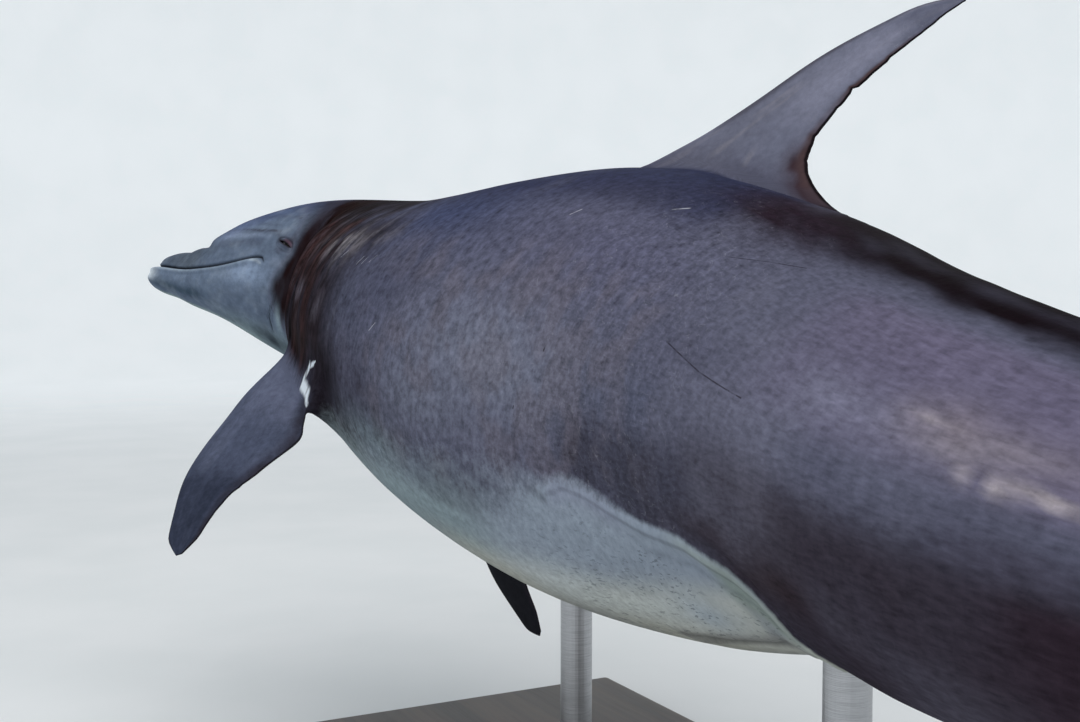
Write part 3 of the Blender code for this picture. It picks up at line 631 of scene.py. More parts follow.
    # nape and shoulder
    up = paint((15, 9, 14), (0.98 + 0.3 * streak) * (1 - smooth(a, 30 + 8 * fringe, 54 + 8 * fringe)) * smooth(u, 0.385, 0.45) * (1 - smooth(u, 0.62 + 0.10 * fringe, 0.90)))
    reach = 0.79 + 0.12 * smooth(a, 92, 118) * (1 - smooth(a, 140, 156)) - 0.14 * (1 - smooth(a, 45, 70)) + 0.10 * fringe
    dark = smooth(u, 0.40, 0.46) * (1 - smooth(u, reach - 0.16, reach + 0.22)) * smooth(a, 20, 44) * (1 - smooth(a, 140 + 8 * fringe, 166))
    up = paint((30, 25, 31), (0.94 + 0.35 * fringe) * dark * (0.70 + 0.30 * side))
    near = smooth(u, 0.40, 0.45) * (1 - smooth(u, 0.60 + 0.10 * fringe, 0.84 + 0.12 * fringe)) * smooth(a, 20, 44) * (1 - smooth(a, 146, 166))
    up = paint((20, 12, 14), (0.66 + 1.1 * streak) * near * (0.65 + 0.35 * side))
    up = paint((88, 86, 97), (1.2 * fringe + 1.6 * streak - 0.38) * smooth(u, 0.48, 0.54) * (1 - smooth(u, 0.80, 1.0)) * smooth(a, 42, 60) * (1 - smooth(a, 96, 124)) * (0.45 + 0.55 * left))
    up = paint((122, 118, 122), 0.80 * np.clip(0.55 + 3.0 * streak, 0, 1) * patch(u, a, 0.69, 70, 0.080, 8) * (0.4 + 0.6 * left))
    up = paint((70, 46, 44), np.clip(0.6 + 1.5 * streak, 0, 1) * patch(u, a, 0.645, 60, 0.030, 5) * left)
    up = paint((52, 34, 34), (0.30 + 1.2 * fringe) * smooth(u, 0.47, 0.53) * (1 - smooth(u, 0.62, 0.82)) * smooth(a, 50, 66) * (1 - smooth(a, 118, 138)))
    up = paint((24, 19, 22), (0.64 + 0.6 * fringe) * patch(u, a, 0.835, 116, 0.055, 8))
    up = paint((50, 54, 66), 0.40 * patch(u, a, 0.845, 92, 0.060, 9))

    up = paint((102, 114, 122), 0.65 * patch(u, a, 0.965, 129, 0.09, 7))
    up = paint((68, 71, 90), 0.6 * patch(u, a, 0.91, 86, 0.10, 18))

    # ---- the head
    d = r * (np.abs(th) - mouth_angle(u))
    under = smooth(d, 0.0, 0.004)
    face = np.broadcast_to(srgb(94, 106, 125), u.shape + (3,)).copy()
    paint = lambda colour, w: mix(face, srgb(*colour), np.clip(w, 0, 1))
    face = paint((74, 86, 116), 0.85 * (1 - smooth(a, 34, 62)) * smooth(u, 0.15, 0.24))
    face = paint((74, 74, 104), (0.6 + 0.5 * mid) * (1 - smooth(a, 12, 44)) * smooth(u, 0.24, 0.36))
    face = paint((78, 88, 103), (0.90 + 0.3 * mid) * (1 - under) * (1 - smooth(u, 0.14, 0.22)))
    face = paint((96, 104, 112), 0.40 * (1 - under) * (1 - smooth(u, 0.17, 0.21)) * np.clip(2.5 * mid, 0, 1))
    face = paint((118, 132, 150), 0.5 * patch(u, a, 0.24, 57, 0.05, 7))
    face = paint((132, 148, 172), (1.0 + 0.2 * mid) * patch(u, a, 0.300, 97, 0.055, 10))
    face = paint((104, 116, 136), 0.55 * patch(u, a, 0.352, 92, 0.022, 9))
    face = paint((106, 120, 140), 0.60 * under * (1 - smooth(a, 112, 134)) * (1 - smooth(u, 0.20, 0.26)))
    face = paint((116, 132, 136), 0.75 * smooth(a, 124, 156) * under * smooth(u, 0.16, 0.30))
    face = paint((50, 66, 80), (0.92 + 0.5 * mid) * under * (0.9 * patch(u, a, 0.060, 126, 0.040, 16) + 1.0 * patch(u, a, 0.140, 128, 0.055, 11)))
    face = paint((150, 170, 164), 0.55 * smooth(a, 150, 168) * under * (1 - smooth(u, 0.26, 0.34)))
    # the pale tip of the lower jaw, brightened further with a painted highlight
    face = paint((214, 222, 228), 0.86 * under * (1 - smooth(u, 0.006, 0.052)) * (1 - smooth(a, 106, 140)))
    face = paint((170, 184, 198), 0.50 * bell(d - 0.0036, 0.0026) * (1 - smooth(u, 0.305, 0.321)) * (1 - 0.5 * smooth(u, 0.10, 0.20)))
    face = paint((190, 200, 208), 0.55 * bell(line_distance(c, [(0.296, 86.2), (0.311, 87.6), (0.319, 89.6)]), 0.0014))
    face = paint((140, 150, 156), 0.55 * (1 - smooth(u, 0.0, 0.030)) * (1 - under))
    face = paint((66, 76, 90), np.clip(0.55 * fine + 0.30 * mid, 0, 0.34))
    face = paint((134, 144, 156), np.clip(-0.50 * fine - 0.28 * mid - 0.03, 0, 0.26))
    # bridle: thin stripes from the forehead to the eye
    for line, w, k in (([(0.200, 44), (0.230, 52), (0.286, 61.5), (0.336, 66)], 0.0015, 0.85), ([(0.196, 50), (0.245, 57.5), (0.300, 64.5), (0.336, 69)], 0.0026, 0.30),
                       ([(0.20, 30), (0.25, 40), (0.31, 49), (0.36, 55)], 0.0030, 0.36), ([(0.205, 62), (0.245, 68), (0.300, 72.5)], 0.0060, 0.30),
                       ([(0.18, 18), (0.25, 28), (0.34, 40)], 0.0050, 0.25), ([(0.235, 47), (0.285, 55), (0.33, 61)], 0.0018, 0.28)):
        face = mix(face, FACE_DARK, np.clip(k * (1 + 0.5 * mid), 0, 1) * bell(line_distance(c, line), w))
    face = paint((132, 144, 166), 0.45 * bell(line_distance(c, [(0.21, 56), (0.262, 63.5), (0.315, 69)]), 0.0036))
    # round the eye
    ex, ey = u - EYE_STATION, r * np.radians(a - EYE_ANGLE)
    tilt = math.radians(20.5)
    x1, y1 = ex * math.cos(tilt) + ey * math.sin(tilt), -ex * math.sin(tilt) + ey * math.cos(tilt)
    spot = lambda x, y, w, h: bell(np.hypot((x1 - x) / w, (y1 - y) / h), 1)
    face = paint((64, 62, 76), 0.45 * spot(0.000, -0.002, 0.021, 0.011))
    face = paint((46, 42, 52), 0.75 * spot(0.011, -0.0065, 0.0110, 0.0075))
    face = paint((30, 27, 34), 0.88 * spot(-0.0205, -0.0008, 0.0072, 0.0042))
    face = paint((66, 68, 82), 0.55 * spot(-0.006, 0.0130, 0.0120, 0.0042))
    face = paint((52, 54, 66), 0.60 * spot(0.000, 0.0100, 0.0085, 0.0011))
    face = paint((52, 54, 66), 0.45 * spot(-0.006, 0.0165, 0.0070, 0.0011))
    face = paint((120, 130, 146), 0.55 * bell(np.hypot(x1 - 0.0205, (y1 - 0.0015) * 0.62), 0.0044))
    face = paint((120, 130, 148), 0.50 * bell(line_distance(c, [(0.345, 89), (0.372, 91), (0.388, 86)]), 0.006))
    face = paint((86, 92, 108), 0.5 * patch(u, a, 0.352, 71, 0.010, 3))
    face = paint((136, 146, 160), 0.50 * patch(u, a, 0.346, 66.5, 0.016, 3.2))
    face = paint((122, 134, 162), 0.50 * patch(u, a, 0.218, 52, 0.030, 8))
    face = paint((68, 80, 118), 0.42 * patch(u, a, 0.250, 46, 0.045, 9))
    face = paint((74, 86, 106), 0.42 * patch(u, a, 0.300, 69, 0.020, 3.6))
    # throat
    for line, w, k in THROAT_FOLDS:
        face = mix(face, srgb(44, 50, 58), (0.88 if w < 0.003 else 0.24) * k * (1 + mid) * bell(line_distance(c, line), w * (1 if w < 0.003 else 2.2)) * (0.3 + 0.7 * left))
    # a pale patch beside the throat folds: a painted highlight
    face = paint((150, 172, 180), 0.75 * patch(u, a, 0.381, 127, 0.009, 9))
    face = paint((50, 58, 66), (0.75 + 0.6 * mid) * (patch(u, a, 0.350, 151, 0.020, 8) + 0.55 * patch(u, a, 0.318, 146, 0.018, 6) + 0.6 * patch(u, a, 0.385, 150, 0.014, 6)))
    face = mix(face, LINE_DARK, 0.96 * bell(d, 0.0016) * (1 - smooth(u, 0.311, 0.322)))
    face = mix(face, LINE_DARK, 0.85 * bell(line_distance(c, GAPE_FOLD), 0.0011))
    face = mix(face, LINE_DARK, 0.8 * bell(u - (0.368 - 0.010 * (r * th / 0.014) ** 2), 0.0028) * (1 - smooth(np.abs(r * th), 0.012, 0.018)))
    turn = smooth(u + 0.020 * streak + 0.016 * mid, 0.372 - 0.020 * (1 - left) - 0.040 * (1 - smooth(a, 45, 75)), 0.462 + 0.030 * (1 - left) + 0.020 * (1 - smooth(a, 45, 75)))
    up = mix(up, face, 1 - turn)
    # the cheek in front of the neck fold: its darker skin, deepened with painted shadow of the shoulder that stands
    # over it
    cheek = region(c + 0.005 * np.stack([1.4 * streak + mid, mid], -1), CHEEK_DARK_AND_SHADOW)
    cheek_shadow = smooth(cheek, -0.0260 - 0.016 * (1 - smooth(a, 50, 80)) - 0.026 * (1 - side) - 0.014 * bell((a - 86) / 14, 1), 0.0130 + 0.018 * (1 - smooth(a, 50, 80)) + 0.010 * (1 - side))
    shade = mix(np.broadcast_to(srgb(62, 42, 44), u.shape + (3,)), srgb(26, 10, 8), smooth(cheek_shadow, 0.15, 0.62))
    cheek_shadow = np.clip(cheek_shadow * (0.72 + 0.28 * smooth(a, 50, 82)) * (1 - smooth(u, 0.47, 0.56)) * (1.0 + 0.15 * streak), 0, 0.98)
    up = mix(up, shade, cheek_shadow)
    # a pale line along the lower edge of the neck fold: a painted highlight
    up = mix(up, srgb(150, 160, 168), 0.6 * left * bell(line_distance(c, [(0.505, 122), (0.500, 130), (0.480, 137)]), 0.0022))

    # ---- the underside
    low = np.broadcast_to(srgb(139, 149, 162), u.shape + (3,)).copy()
    paint = lambda colour, w: mix(low, srgb(*colour), np.clip(w, 0, 1))
    e = region(c, BELLY)
    # a blue-green cast on the front of the underside: painted colour of the water's light
    low = paint((132, 148, 152), 0.8 * (1 - smooth(u, 1.10, 1.32)))
    low = paint((84, 92, 102), (0.75 + 0.6 * cloud) * patch(u, a, 1.17, 130, 0.13, 6))
    low = paint((194, 195, 184), (0.85 + 0.4 * big) * smooth(a, 142, 162) * smooth(u, 0.95, 1.20))
    low = paint((166, 178, 190), (0.7 + 0.4 * mid) * patch(u, a, 1.62, 161, 0.09, 9))
    low = paint((118, 127, 133), 0.7 * smooth(u, 1.70, 1.76) * (1 - smooth(a, 164, 172)))
    low = paint((134, 140, 158), 0.85 * bell(e - 0.010, 0.012) * smooth(u, 1.37, 1.42) * (1 - smooth(u, 1.50, 1.60)))
    low = paint((150, 160, 150), 0.55 * bell(e - 0.006, 0.006) * smooth(u, 1.62, 1.72))
    low = paint((136, 150, 138), 0.55 * smooth(u, 1.69, 1.75) * smooth(e, 0.004, 0.016) * (1 - smooth(e, 0.030, 0.045)))
    low = paint((82, 88, 98), 0.35 * bell(e - 0.026 - 0.003 * mid, 0.0030) * smooth(u, 1.55, 1.62))
    low = paint((206, 214, 214), 0.55 * patch(u, a, 1.44, 160, 0.16, 7) + 0.45 * patch(u, a, 1.31, 152, 0.10, 7))
    low = paint((132, 146, 158), 0.45 * patch(u, a, 0.97, 131, 0.10, 7))
    low = paint((74, 78, 88), 0.75 * left * bell(line_distance(c, [(1.205, 124), (1.243, 126.4), (1.292, 127.6)]), 0.0042))
    low = paint((78, 82, 92), 0.70 * left * bell(line_distance(c, [(1.344, 124.2), (1.384, 126.2)]), 0.0042))
    low = paint((90, 96, 104), 0.45 * left * bell(line_distance(c, [(1.107, 136), (1.165, 136.4), (1.219, 136)]), 0.008))
    low = paint((78, 80, 84), 0.85 * bell(line_distance(c, SLIT), 0.0045) * left)
    low = paint((104, 102, 104), 0.55 * bell(line_distance(c, SLIT) - 0.010, 0.006) * left)
    low = paint((92, 92, 98), 0.6 * bell(line_distance(c, [(1.796, 176), (1.812, 184)]), 0.010))
    low = paint((132, 140, 146), 0.45 * np.clip(1.6 * cloud, 0, 1))
    low = mix(low, face, 1 - smooth(u, 0.40, 0.47))
    soft = np.where(u < 1.24, 0.045, 0.045 + (0.0060 - 0.045) * smooth(u, 1.24, 1.43)) - 0.0036 * smooth(u, 1.50, 1.62)
    amount = smooth(u, 0.40, 0.46) * (1 - 0.55 * smooth(u, 0.62, 0.86)) * (1 - 0.80 * smooth(u, 0.95, 1.40))
    return dict(up=up, low=low, edge=e + 0.012 * mid * (1 - smooth(u, 1.30, 1.43)), soft=soft, round=amount * (1 - smooth(a, 160, 172)) * (1 + 0.5 * (1 - smooth(u, 0.60, 0.85))),
                along=smooth(u, 1.15, 1.55), head=(1 - 0.5 * (1 - smooth(u, 0.40, 0.46))) * (1 - 0.58 * smooth(u, 1.35, 1.85)),
                fleck=smooth(u, 1.24, 1.40) * smooth(e, 0.014, 0.034) * (1 - smooth(a, 172, 178)) * np.clip(0.75 + 0.9 * mid, 0, 1),
                scar=np.clip(4 * noise(p * 3.1, 61, 2) - 0.7, 0, 1) * smooth(u, 0.7, 0.9), wet=0 * one)


def fin_look(kind, side, t, s, across, p):
    """The same for a fin: share of its span, share of its chord, and which face."""
    big, mid = noise(p * 12.0, 31, 3), noise(p * 42.0, 32, 3)
    t, s = np.broadcast_arrays(t, s)
    run = noise(np.stack([s * 9, t * 4.0, 0 * s + side + 0.2 * across], -1), 35, 3)
    if kind == "dorsal":
        c = np.broadcast_to(srgb(106, 108, 125), t.shape + (3,)).copy()
        paint = lambda colour, w: mix(c, srgb(*colour), np.clip(w, 0, 1))
        c = paint((80, 80, 96), 0.85 * (1 - smooth(t, 0.12, 0.34)))
        c = paint((130, 131, 149), (0.9 + 0.5 * run) * bell(s - 0.56, 0.30) * smooth(t, 0.34, 0.62))
        c = paint((98, 99, 113), 0.5 * bell(s - 0.30, 0.18) * (1 - smooth(t, 0.5, 0.8)))
        c = paint((68, 66, 76), (0.75 + 0.8 * run) * (1 - smooth(s, 0.02, 0.22)) * smooth(t, 0.24, 0.42) * (1 - 0.4 * smooth(t, 0.7, 1)))
        c = paint((126, 128, 142), 0.8 * (1 - smooth(s, 0.0, 0.03)) * smooth(t, 0.5, 0.7))
        c = paint((60, 46, 52), (0.9 + 0.8 * mid) * smooth(s, 0.70, 0.92) * (1 - smooth(t, 0.24, 0.50)))
        c = paint((74, 58, 60), (0.8 + 0.8 * mid) * smooth(s, 0.86, 0.96))
        c = paint((134, 130, 138), np.clip(1.4 * run - 0.35, 0, 0.5))
        c = paint((84, 86, 103), 0.7 * smooth(t, 0.80, 0.94) * smooth(s, 0.05, 0.3))
        c = mix(c, FIN_EDGE, 0.95 * smooth(s, 0.962, 0.980))
    elif kind == "flipper":
        # the right flipper is near-black: painted shade, with a lighter tone laid on one face
        c = np.broadcast_to(srgb(72, 78, 97) if side > 0 else srgb(34, 34, 39), t.shape + (3,)).copy()
        if side < 0:
            c = mix(c, srgb(62, 66, 82), np.clip((0.85 + 0.5 * run) * (across < 0) * (1 - smooth(s, 0.80, 0.98)) * smooth(s, 0.0, 0.10), 0, 1))
        paint = lambda colour, w: mix(c, srgb(*colour), np.clip(w, 0, 1))
        if side > 0:
            c = paint((98, 103, 124), (0.85 + 0.5 * big) * (1 - smooth(t, 0.10, 0.42)) * smooth(s, 0.08, 0.3) * (1 - smooth(s, 0.75, 0.95)))
            c = paint((44, 49, 64), (0.9 + 0.5 * run) * smooth(t, 0.45, 0.72))
            c = paint((88, 94, 114), np.clip(1.5 * run - 0.1, 0, 0.5) * (1 - 0.7 * smooth(t, 0.5, 0.75)))
        c = paint((46, 42, 50), (0.65 + 0.6 * mid) * smooth(s, 0.78, 0.97))
        c = paint((52, 47, 54), 0.6 * (1 - smooth(s, 0.0, 0.05)))
        c = mix(c, FIN_EDGE, 0.7 * smooth(s, 0.972, 0.988))
    else:
        c = np.broadcast_to(srgb(66, 64, 78), t.shape + (3,)).copy()
        paint = lambda colour, w: mix(c, srgb(*colour), np.clip(w, 0, 1))
        c = paint((104, 108, 118), (0.6 + 0.8 * run) * bell(s - 0.45, 0.28) * (across < 0))
        c = paint((84, 82, 98), (0.5 + 0.8 * run) * bell(s - 0.5, 0.3) * (across >= 0))
        c = paint((40, 32, 40), (0.8 + 0.4 * mid) * (1 - smooth(t, 0.20, 0.42)) * (across >= 0))
        c = paint((42, 38, 44), 0.7 * smooth(s, 0.84, 0.98) + 0.35 * (1 - smooth(s, 0.0, 0.10)) + 0.2 * mid)
        c = mix(c, FIN_EDGE, 0.6 * smooth(s, 0.97, 0.99))
    z = np.zeros(t.shape)
    return dict(up=c, low=c, edge=z - 0.05, soft=z + 0.01, round=z + (0.12 if kind == "dorsal" else 0.25) * smooth(t, 0.10, 0.30), along=z, head=z + (0.35 if kind == "dorsal" else 0.55), fleck=z,
                scar=np.clip(4 * noise(p * 4.1, 62, 2) - 0.8, 0, 1) * smooth(t, 0.25, 0.4), wet=z)


# ================================================================== the body's mesh
skin = Skin()
body_straight = straight_point(U_GRID, THETA)
look = body_look(U_GRID[:, :-1].ravel(), THETA[:, :-1].ravel(), body_straight[:, :-1].reshape(-1, 3))
index = skin.add(bend(body_straight[:, :-1].reshape(-1, 3)), straight=body_straight[:, :-1].reshape(-1, 3),
                 station=U_GRID[:, :-1].ravel(), angle=THETA[:, :-1].ravel(), **look)
GRID = index.reshape(len(RINGS), N)
GRID = np.concatenate([GRID, GRID[:, :1]], 1)
COLUMNS = np.broadcast_to(np.arange(N + 1, dtype=float), GRID.shape)
BODY_UV = chart_uv(U_GRID, COLUMNS)
KEEP = np.ones((len(RINGS) - 1, N), bool)
ring_near = lambda u: int(np.abs(RINGS - u).argmin())


def hole(u0, u1, j0, j1):
    """Takes a rectangle of faces out, and gives the loop of its corner points, from the middle of its front edge round to the left."""
    i0, i1 = ring_near(u0), ring_near(u1)
    KEEP[i0:i1, j0:j1] = False
    jm = (j0 + j1) // 2
    loop = [(i0, j) for j in range(jm, j1)] + [(i, j1) for i in range(i0, i1)] + [(i1, j) for j in range(j1, j0, -1)]
    loop += [(i, j0) for i in range(i1, i0, -1)] + [(i0, j) for j in range(j0, jm)]
    i, j = np.array(loop).T
    return i, j, i1 - i0, j1 - j0


def fin_sides(along, across, front=0.05, rear=0.97):
    """Chord shares of a fin's points, so that each meets a point of the hole's edge."""
    h = across // 2
    x = np.linspace(0, 1, h + 1)
    return np.concatenate([front * x[:-1] ** 1.6, np.linspace(front, rear, along + 1), rear + (1 - rear) * (1 - (1 - x[1:]) ** 1.3)])


FIN_CHARTS = []


def add_fin(kind, side, fin, place, where, ts, corner, ragged=None, loops=8, reach=1.15, island=(0, 0), scale=0.50):
    i, j, along, across = hole(*where)
    shares = fin_sides(along, across)
    q = blade(fin, ts, shares, ragged)
    s_all = np.concatenate([shares, shares[-2:0:-1]])
    face_side = np.concatenate([np.ones(len(shares)), -np.ones(len(shares) - 2)])
    pos = place(q, ts)
    edge_pos = bend(body_straight[i, j])
    # the loop runs the same way round as the hole's
    straight_way = np.linalg.norm(edge_pos - pos[0], axis=-1).sum()
    back = np.concatenate([[0], np.arange(len(s_all) - 1, 0, -1)])
    turned = np.linalg.norm(edge_pos - pos[0][back], axis=-1).sum() < straight_way
    if turned:
        q, pos, s_all, face_side = q[:, back], pos[:, back], s_all[back], face_side[back]
    # fillet: smooth curves from the hole's edge to the fin's first loop
    u_edge, t_edge = U_GRID[i, j], THETA[i, j]
    t_mid = THETA[ring_near((where[0] + where[1]) / 2), (where[2] + where[3]) // 2]
    reach_u = radius(np.array(u_edge)) * np.abs(THETA[ring_near(where[0]), where[3]] - THETA[ring_near(where[0]), where[2]]) / 2
    u_core = np.clip(u_edge, RINGS[ring_near(where[0])] + reach_u, RINGS[ring_near(where[1])] - reach_u)
    du, dt = u_core - u_edge, t_mid - t_edge
    e = 0.02
    tangent = posed(u_edge + e * du, t_edge + e * dt) - edge_pos
    tangent /= np.linalg.norm(tangent, axis=-1, keepdims=True)
    ahead = place(blade(fin, ts[:1] + 0.02, shares, ragged), ts[:1] + 0.02)[0]
    ahead = ahead[back] if turned else ahead
    rise = ahead - pos[0]
    rise /= np.maximum(np.linalg.norm(rise, axis=-1, keepdims=True), 1e-9)
    gap = np.linalg.norm(pos[0] - edge_pos, axis=-1, keepdims=True)
    ks = np.linspace(0, 1, loops + 1)[1:-1]
    n = len(s_all)
    fillet = []
    for k in ks:
        h00, h10, h01, h11 = 2 * k**3 - 3 * k**2 + 1, k**3 - 2 * k**2 + k, -2 * k**3 + 3 * k**2, k**3 - k**2
        fillet.append(h00 * edge_pos + h10 * reach * gap * tangent + h01 * pos[0] + h11 * reach * gap * rise)
    fillet = np.array(fillet)
    uf = u_edge + 0.9 * ks[:, None] * du
    tf = t_edge + 0.9 * ks[:, None] * dt
    sf = straight_point(uf, tf, with_relief=False)
    body = body_look(uf.ravel(), tf.ravel(), sf.reshape(-1, 3))
    rest = np.stack([q[..., 2], q[..., 0] + (0 if kind != "flipper" else 0.6), q[..., 1]], -1) + np.array([3.0 * side, 0, 5.0 if kind == "flipper" else 0])
    if kind == "dorsal":
        rest = np.stack([q[..., 2], q[..., 0], q[..., 1]], -1)
    if kind == "fluke":
        rest = np.stack([q[..., 1] * side, q[..., 0], q[..., 2]], -1)
    t_full = np.repeat(ts[:, None], n, 1)
    s_full = np.repeat(s_all[None], len(ts), 0)
    f_full = np.repeat(face_side[None], len(ts), 0)
    fins = fin_look(kind, side, t_full, s_full, f_full, rest)
    first = fin_look(kind, side, t_full[:1].repeat(len(ks), 0), s_full[:1].repeat(len(ks), 0), f_full[:1].repeat(len(ks), 0), rest[:1].repeat(len(ks), 0))
    w = smooth(ks, 0.25, 1.05)[:, None].repeat(n, 1).ravel()
    blended = {}
    for key in body:
        b, f = body[key], first[key].reshape(body[key].shape)
        blended[key] = b + (f - b) * (w[:, None] if b.ndim == 2 else w)
    idx_f = skin.add(fillet.reshape(-1, 3), straight=sf.reshape(-1, 3), station=uf.ravel(), angle=tf.ravel(), **blended).reshape(len(ks), n)
    idx_b = skin.add(pos.reshape(-1, 3), straight=rest.reshape(-1, 3), station=t_full.ravel() * 0 - 5.0, angle=t_full.ravel(),
                     **{k: v.reshape((-1, 3)) if v.ndim == 3 else v.ravel() for k, v in fins.items()}).reshape(len(ts), n)
    FIN_CHARTS.append((idx_b.ravel(), np.stack([10.0 * (1 + len(FIN_CHARTS)) + 0.22 * s_full * f_full * (1.2 - t_full), 0.45 * t_full, 0 * t_full], -1).reshape(-1, 3)))
    close = lambda a: np.concatenate([a, a[:, :1]], 1)
    edge_idx = GRID[i, j][None]
    ring = np.concatenate([edge_idx, idx_f, idx_b[:1]], 0)
    # the fillet lies on the body's map, in the hole; the fin has an island for each face
    uv_edge = BODY_UV[i, j]
    core_uv = chart_uv(u_core, np.full(n, (where[2] + where[3]) / 2.0))
    kk = np.concatenate([[0], ks, [1]])[:, None, None] * 0.9
    skin.quads(close(ring), close(uv_edge[None] * (1 - kk) + core_uv[None] * kk))
    flat = (q[..., :2] - q[..., :2].reshape(-1, 2).min(0)) * scale
    width = flat[..., 0].max() + 0.008
    faces_a = close(face_side[None])[:, :-1] + close(face_side[None])[:, 1:] >= 0
    lying = np.stack([close(flat[..., k]) for k in (0, 1)], -1)
    corners = np.stack([lying[:-1, :-1], lying[:-1, 1:], lying[1:, 1:], lying[1:, :-1]], -2)
    offset = np.where(faces_a[..., None, None], 0.0, width) * np.array([1.0, 0.0]) + np.array(island)
    skin.quads(close(idx_b), None, uv_by_face=corners + offset)
    last = idx_b[-1]
    middle = pos[-1].mean(0)
    tip_look = {k: (v[-1, 0:1] if v.ndim == 2 else v[-1, 0:1, :]) for k, v in fins.items()}
    end = skin.add(middle[None], straight=rest[-1].mean(0)[None], station=np.array([-5.0]), angle=np.array([1.0]), **tip_look)
    skin.fan(close(last[None])[0], lying[-1] + np.array(island), end[0], flat[-1].mean(0) + np.array(island))
    return width


def ragged_dorsal(t):
    """How far the fin's trailing edge is drawn in, in metres: small notches and an uneven line."""
    p = np.stack([t * 38, t * 0, t * 0], -1)
    return 0.0016 * (noise(p, 41, 2) + 0.4) * smooth(t, 0.2, 0.3) + 0.0052 * bell(t - 0.655, 0.010) + 0.0030 * bell(t - 0.345, 0.012) + 0.0022 * bell(t - 0.45, 0.009) + 0.0020 * bell(t - 0.80, 0.008)


def ragged_tip(t):
    p = np.stack([t * 22, t * 0 + 9, t * 0], -1)
    return 0.0010 * (noise(p, 42, 2) + 0.4) * smooth(t, 0.2, 0.4) + 0.0018 * bell(t - 0.62, 0.012)


eased = lambda a, n, p=1.0: np.append(a + (0.975 - a) * np.linspace(0, 1, n) ** p, [0.984, 0.991, 0.996])
x_at, y_top, y_low = 0.006, 0.706, 0.866
w = add_fin("dorsal", 1, DORSAL, place_dorsal, (0.975, 1.515, HALF - 5, HALF + 5), eased(0.17, 52), None, ragged_dorsal, loops=9, island=(x_at, y_top))
x_at += 2 * w
quarter = HALF // 2
for sign, name in ((1, "left"), (-1, "right")):
    mid_col = HALF + sign * quarter
    w = add_fin("fluke", sign, FLUKE, lambda q, ts, s=sign: place_fluke(q, s), (2.262, 2.471, mid_col - 11, mid_col + 11), eased(0.20, 30),
                None, ragged_tip, loops=7, reach=1.0, island=(x_at, y_top))
    x_at += 2 * w
x_at = 0.006
for sign in (1, -1):
    lo, hi = (HALF + 55, HALF + 69) if sign > 0 else (HALF - 69, HALF - 55)
    w = add_fin("flipper", sign, FLIPPER, lambda q, ts, s=sign: place_flipper(q, s, ts), (0.545 if sign > 0 else 0.530, 0.785 if sign > 0 else 0.770, lo, hi),
                eased(0.06, 40), None, ragged_tip, loops=7, reach=1.1, island=(x_at, y_low), scale=0.49)
    x_at += 2 * w


# ------------------------------------------------------------------ eyelids
def eye_frame(side):
    """Middle of the opening on the skin, with its directions: back, down and out, and the metres to a radian there."""
    t = math.radians(EYE_ANGLE)
    x, z = section(EYE_STATION, t)
    p = np.array([x, EYE_STATION, z])
    e = 1e-4
    a = np.array(section(EYE_STATION + e, t))
    b = np.array(section(EYE_STATION, t + e))
    du = np.array([a[0] - x, e, a[1] - z]) / e
    dt = np.array([b[0] - x, 0, b[1] - z]) / e
    back = du / np.linalg.norm(du)
    down = dt - back * (dt @ back)
    out = np.cross(down, back)
    out /= np.linalg.norm(out)
    if out[0] < 0:
        out = -out
    m = np.array([side, 1, 1])
    return p * m, back * m, down / np.linalg.norm(down) * m, out * m, np.linalg.norm(dt)


TILT = math.radians(20.5)
LID_HALF, LID_UP, LID_LOW = 0.0176, 0.0021, 0.0017


